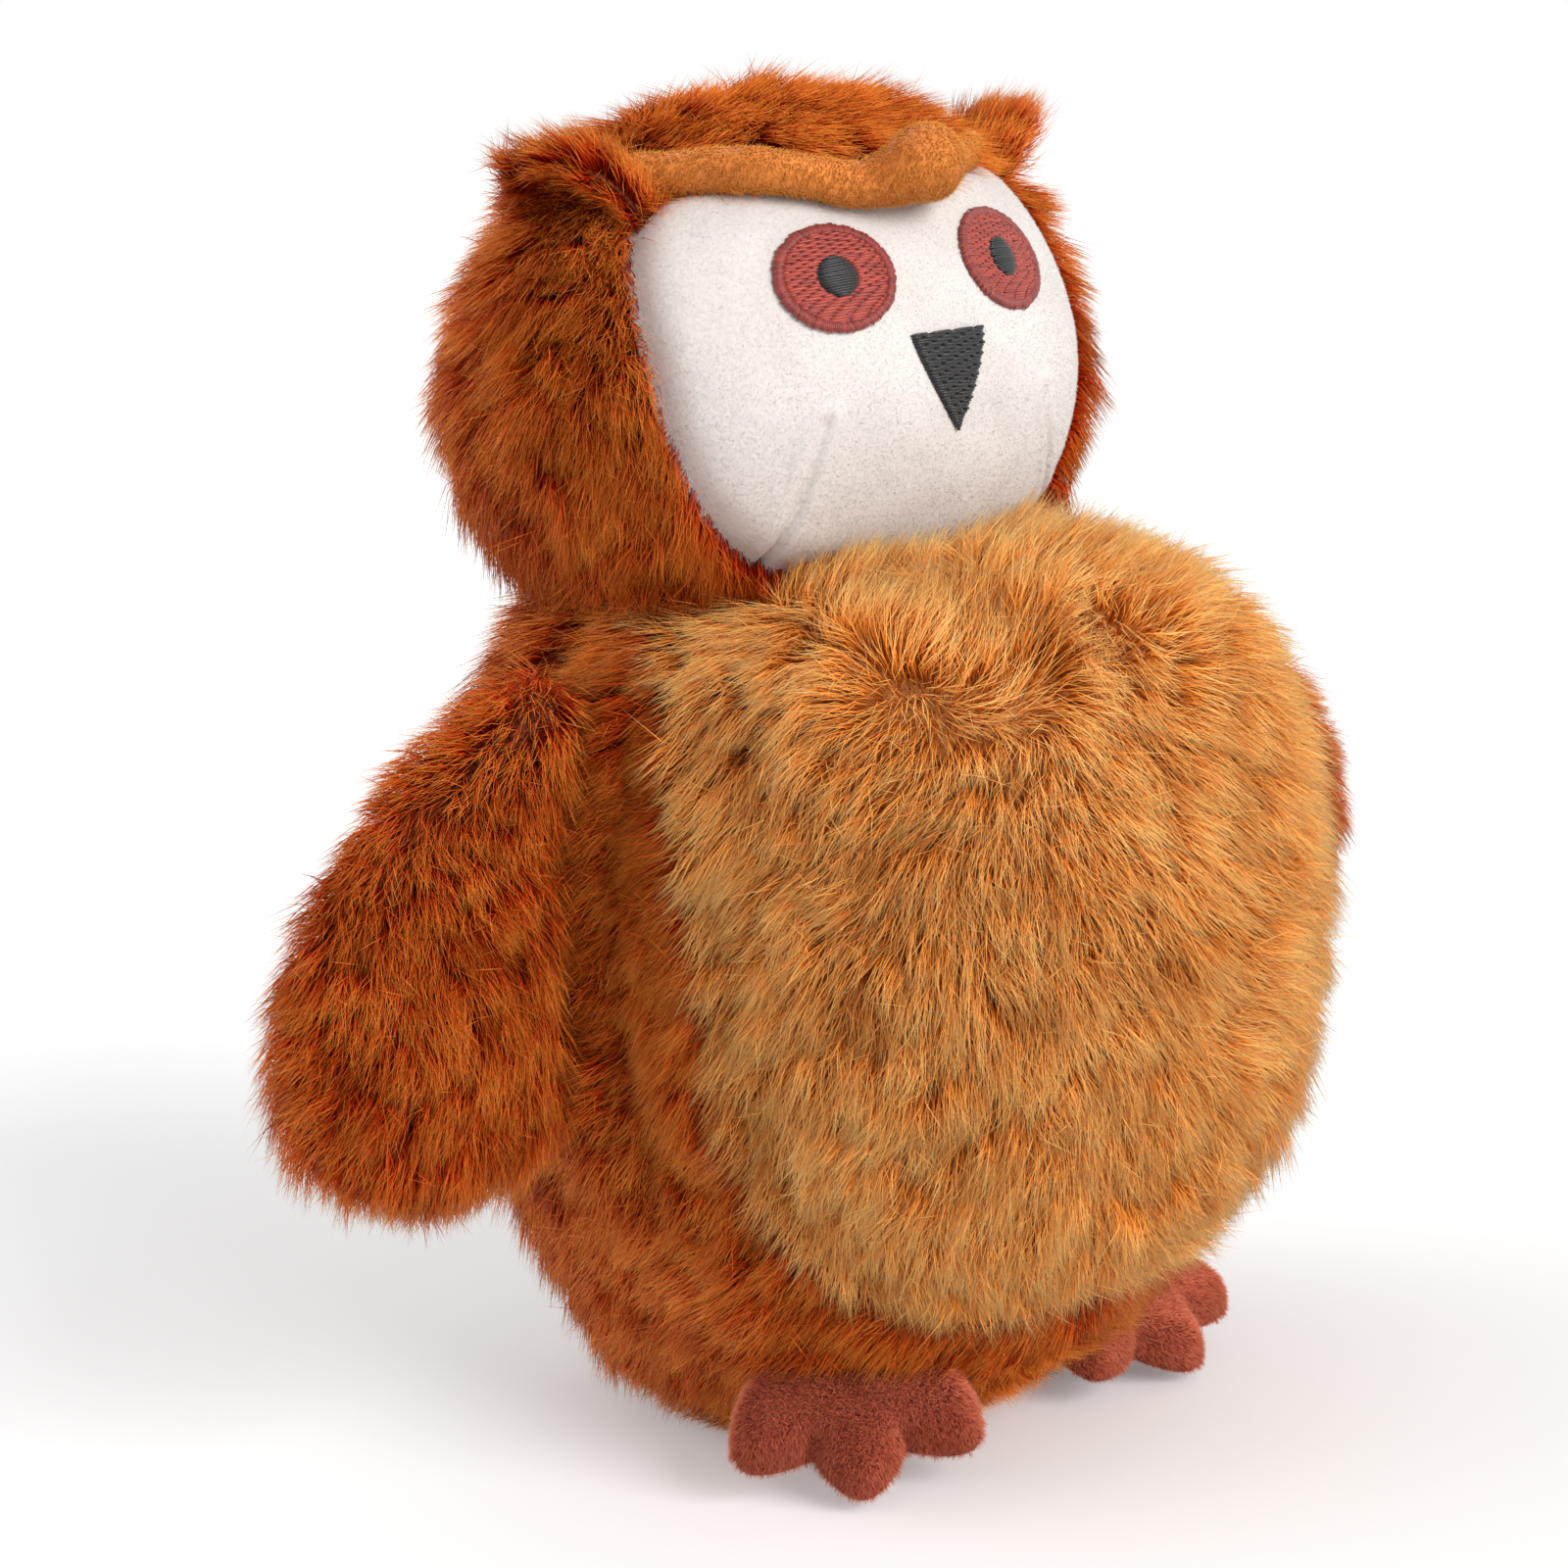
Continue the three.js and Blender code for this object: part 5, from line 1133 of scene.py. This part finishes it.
def foot_outline():
    """The sewn edge of a foot in its own plan: a pad with three toes, each met in a notch."""
    spokes, steps = ring_of(300), np.arange(0, 40, 0.1)
    places = FOOT_MIDDLE + steps[None, :, None] * spokes[:, None]
    covered = np.zeros(places.shape[:2], bool)
    toes = [(TOE_CENTRE, TOE_HALF, fan, TOE_TAPER) for fan in (-TOE_FAN, 0.0, TOE_FAN)]
    for centre, half, fan, taper in [(*FOOT_PAD, 0.0, 0.0)] + toes:
        own = (places @ about(2, fan)[:2, :2] - centre) / half
        own[..., 0] /= np.clip(1 + taper * own[..., 1], 0.5, 1.3)
        covered |= (own**2).sum(-1) < 1
    reach = np.where(covered, steps[None], 0).max(1)
    reach = (np.roll(reach, 1) + 2 * reach + np.roll(reach, -1)) / 4
    return FOOT_MIDDLE + reach[:, None] * spokes


def sunk_in_body(points):
    """How deep points lie inside the outer form of the body, measured towards its middle line."""
    wide, front = body_reach(points[:, 2])[:2]
    share = (np.abs(points[:, 0]) / wide) ** BODY_SQUARENESS + (np.abs(points[:, 1]) / front) ** BODY_SQUARENESS
    return (share ** (-1 / BODY_SQUARENESS) - 1) * np.hypot(points[:, 0], points[:, 1])


plan, plan_faces = flat_grid(np.arange(-27, 27.1, FOOT_PITCH), np.arange(-31, 8.1, FOOT_PITCH))
plan_field = outline_gap(plan, foot_outline())
from_edge = 1 - np.clip(1 + plan_field / EDGE_ROUND, 0, 1)
puff = np.sqrt(np.clip(1 - (1 - from_edge) ** 2, 0, 1))
toeward = np.clip((-plan[:, 1] - 10) / 10, 0, 1)
upper_rise = SEAM_RISE + (FOOT_SWELL + (TOE_SWELL - FOOT_SWELL) * toeward) * puff - SOLE_DROP
sole_rise = SEAM_RISE - SOLE_SWELL * puff - SOLE_DROP
for name, ankle, turned_out, slope, seed in [
        ("right", RIGHT_ANKLE, RIGHT_TURN, RIGHT_SLOPE, 111), ("left", LEFT_ANKLE, LEFT_TURN, LEFT_SLOPE, 115)]:
    placing = (about(2, turned_out) @ about(0, slope)).T
    for part, rise, faces, count, length in [
            ("upper", upper_rise, plan_faces, 22000, UPPER_NAP),
            ("sole", sole_rise, plan_faces[:, ::-1], 5000, SOLE_NAP)]:
        flat_foot = np.column_stack([plan, rise + 0.3 * lumps(np.column_stack([plan, rise]), 6, seed) * puff])
        standing = flat_foot @ placing + ankle
        normals = outward(standing, faces)
        flow = lay_flow(standing, normals, np.tile([0.0, -1.0, -0.4], (len(standing), 1)) @ placing, 0.5, seed + 1)
        rows = np.column_stack([
            standing, normals, flow, lumps(standing, 5, seed + 2), plan_field, sunk_in_body(standing) - HEEL_SUNK])
        rows, faces = trim(rows, faces, rows[:, NAP_FIELD])
        rows, faces = trim(rows, faces, rows[:, HEEL_FIELD])
        skin = make_piece(f"{name}_foot_{part}_cloth", *cloth(rows, faces, FOOT_CLOTH), maroon_velboa)
        nap = grow_nap(f"{name}_foot_{part}_nap", rows, faces, maroon_nap, count, seed + 3, length, 0.16)
        fit(skin, f"{name}_foot", f"{name}_foot_{part}")
        fit(nap, f"{name}_foot", f"{name}_foot_{part}")
    wad(f"{name}_foot_stuffing", f"{name}_foot")

# Studio: a plain white floor and world, two soft lamps and the camera at the photograph's angle.
# The floor keeps the toy's shadow, and the world is full white to the camera alone.
CAMERA_TURN, CAMERA_RISE, CAMERA_ROLL = math.radians(-38), math.radians(11), math.radians(-5)
CAMERA_TARGET, CAMERA_AWAY, CAMERA_LENS, PHOTO_SIDE = Vector((0, 0, 0.110)), 0.620, 78.75, 1600
CAMERA_SHIFT, FLOOR_GLOW, WORLD_LIGHT = (-26, 6), 0.16, 0.6
scene = bpy.context.scene
scene.view_settings.view_transform = "Standard"

bpy.ops.mesh.primitive_plane_add(size=60, location=(0, 0, 0))
floor = bpy.context.object
floor.name = "studio_floor"
paper, nodes, links, shader = new_finish("white_paper", roughness=0.9)
shader.inputs["Base Color"].default_value = (0.9, 0.9, 0.9, 1)
seen = nodes.new("ShaderNodeLightPath")
glow = nodes.new("ShaderNodeMath")
glow.operation = "MULTIPLY"
glow.inputs[1].default_value = FLOOR_GLOW
links.new(seen.outputs["Is Camera Ray"], glow.inputs[0])
links.new(glow.outputs["Value"], shader.inputs["Emission Strength"])
shader.inputs["Emission Color"].default_value = (1, 1, 1, 1)
floor.data.materials.append(paper)

world = bpy.data.worlds.new("studio")
scene.world = world
world.use_nodes = True
nodes, links = world.node_tree.nodes, world.node_tree.links
sky = nodes["Background"]
white = nodes.new("ShaderNodeBackground")
for light, strength in [(sky, WORLD_LIGHT), (white, 1.0)]:
    light.inputs["Color"].default_value = (1, 1, 1, 1)
    light.inputs["Strength"].default_value = strength
ray = nodes.new("ShaderNodeLightPath")
choice = nodes.new("ShaderNodeMixShader")
links.new(ray.outputs["Is Camera Ray"], choice.inputs["Fac"])
links.new(sky.outputs["Background"], choice.inputs[1])
links.new(white.outputs["Background"], choice.inputs[2])
links.new(choice.outputs["Shader"], nodes["World Output"].inputs["Surface"])


def soft_lamp(name, place, power, spread):
    """A wide lamp that shines from a place to the middle of the toy."""
    lamp = bpy.data.lights.new(name, "SUN")
    lamp.energy = power
    lamp.angle = math.radians(spread)
    lamp_object = bpy.data.objects.new(name, lamp)
    lamp_object.location = place
    lamp_object.rotation_mode = "QUATERNION"
    lamp_object.rotation_quaternion = (CAMERA_TARGET - Vector(place)).to_track_quat("-Z", "Y")
    scene.collection.objects.link(lamp_object)


soft_lamp("key_lamp", place=(0.1, -1.0, 0.55), power=2.75, spread=35)
soft_lamp("rim_lamp", place=(-0.75, 1.0, 0.35), power=2.1, spread=50)

camera = bpy.data.cameras.new("photo_camera")
camera.sensor_width = 36
camera.lens = CAMERA_LENS
camera.shift_x, camera.shift_y = (pixels / PHOTO_SIDE for pixels in CAMERA_SHIFT)
camera.clip_start, camera.clip_end = 0.01, 50
camera_object = bpy.data.objects.new("photo_camera", camera)
back = Vector((math.sin(CAMERA_TURN) * math.cos(CAMERA_RISE), -math.cos(CAMERA_TURN) * math.cos(CAMERA_RISE),
               math.sin(CAMERA_RISE)))
camera_object.location = CAMERA_TARGET + CAMERA_AWAY * back
camera_object.rotation_mode = "QUATERNION"
camera_object.rotation_quaternion = (-back).to_track_quat("-Z", "Y") @ Quaternion((0, 0, 1), CAMERA_ROLL)
scene.collection.objects.link(camera_object)
scene.camera = camera_object
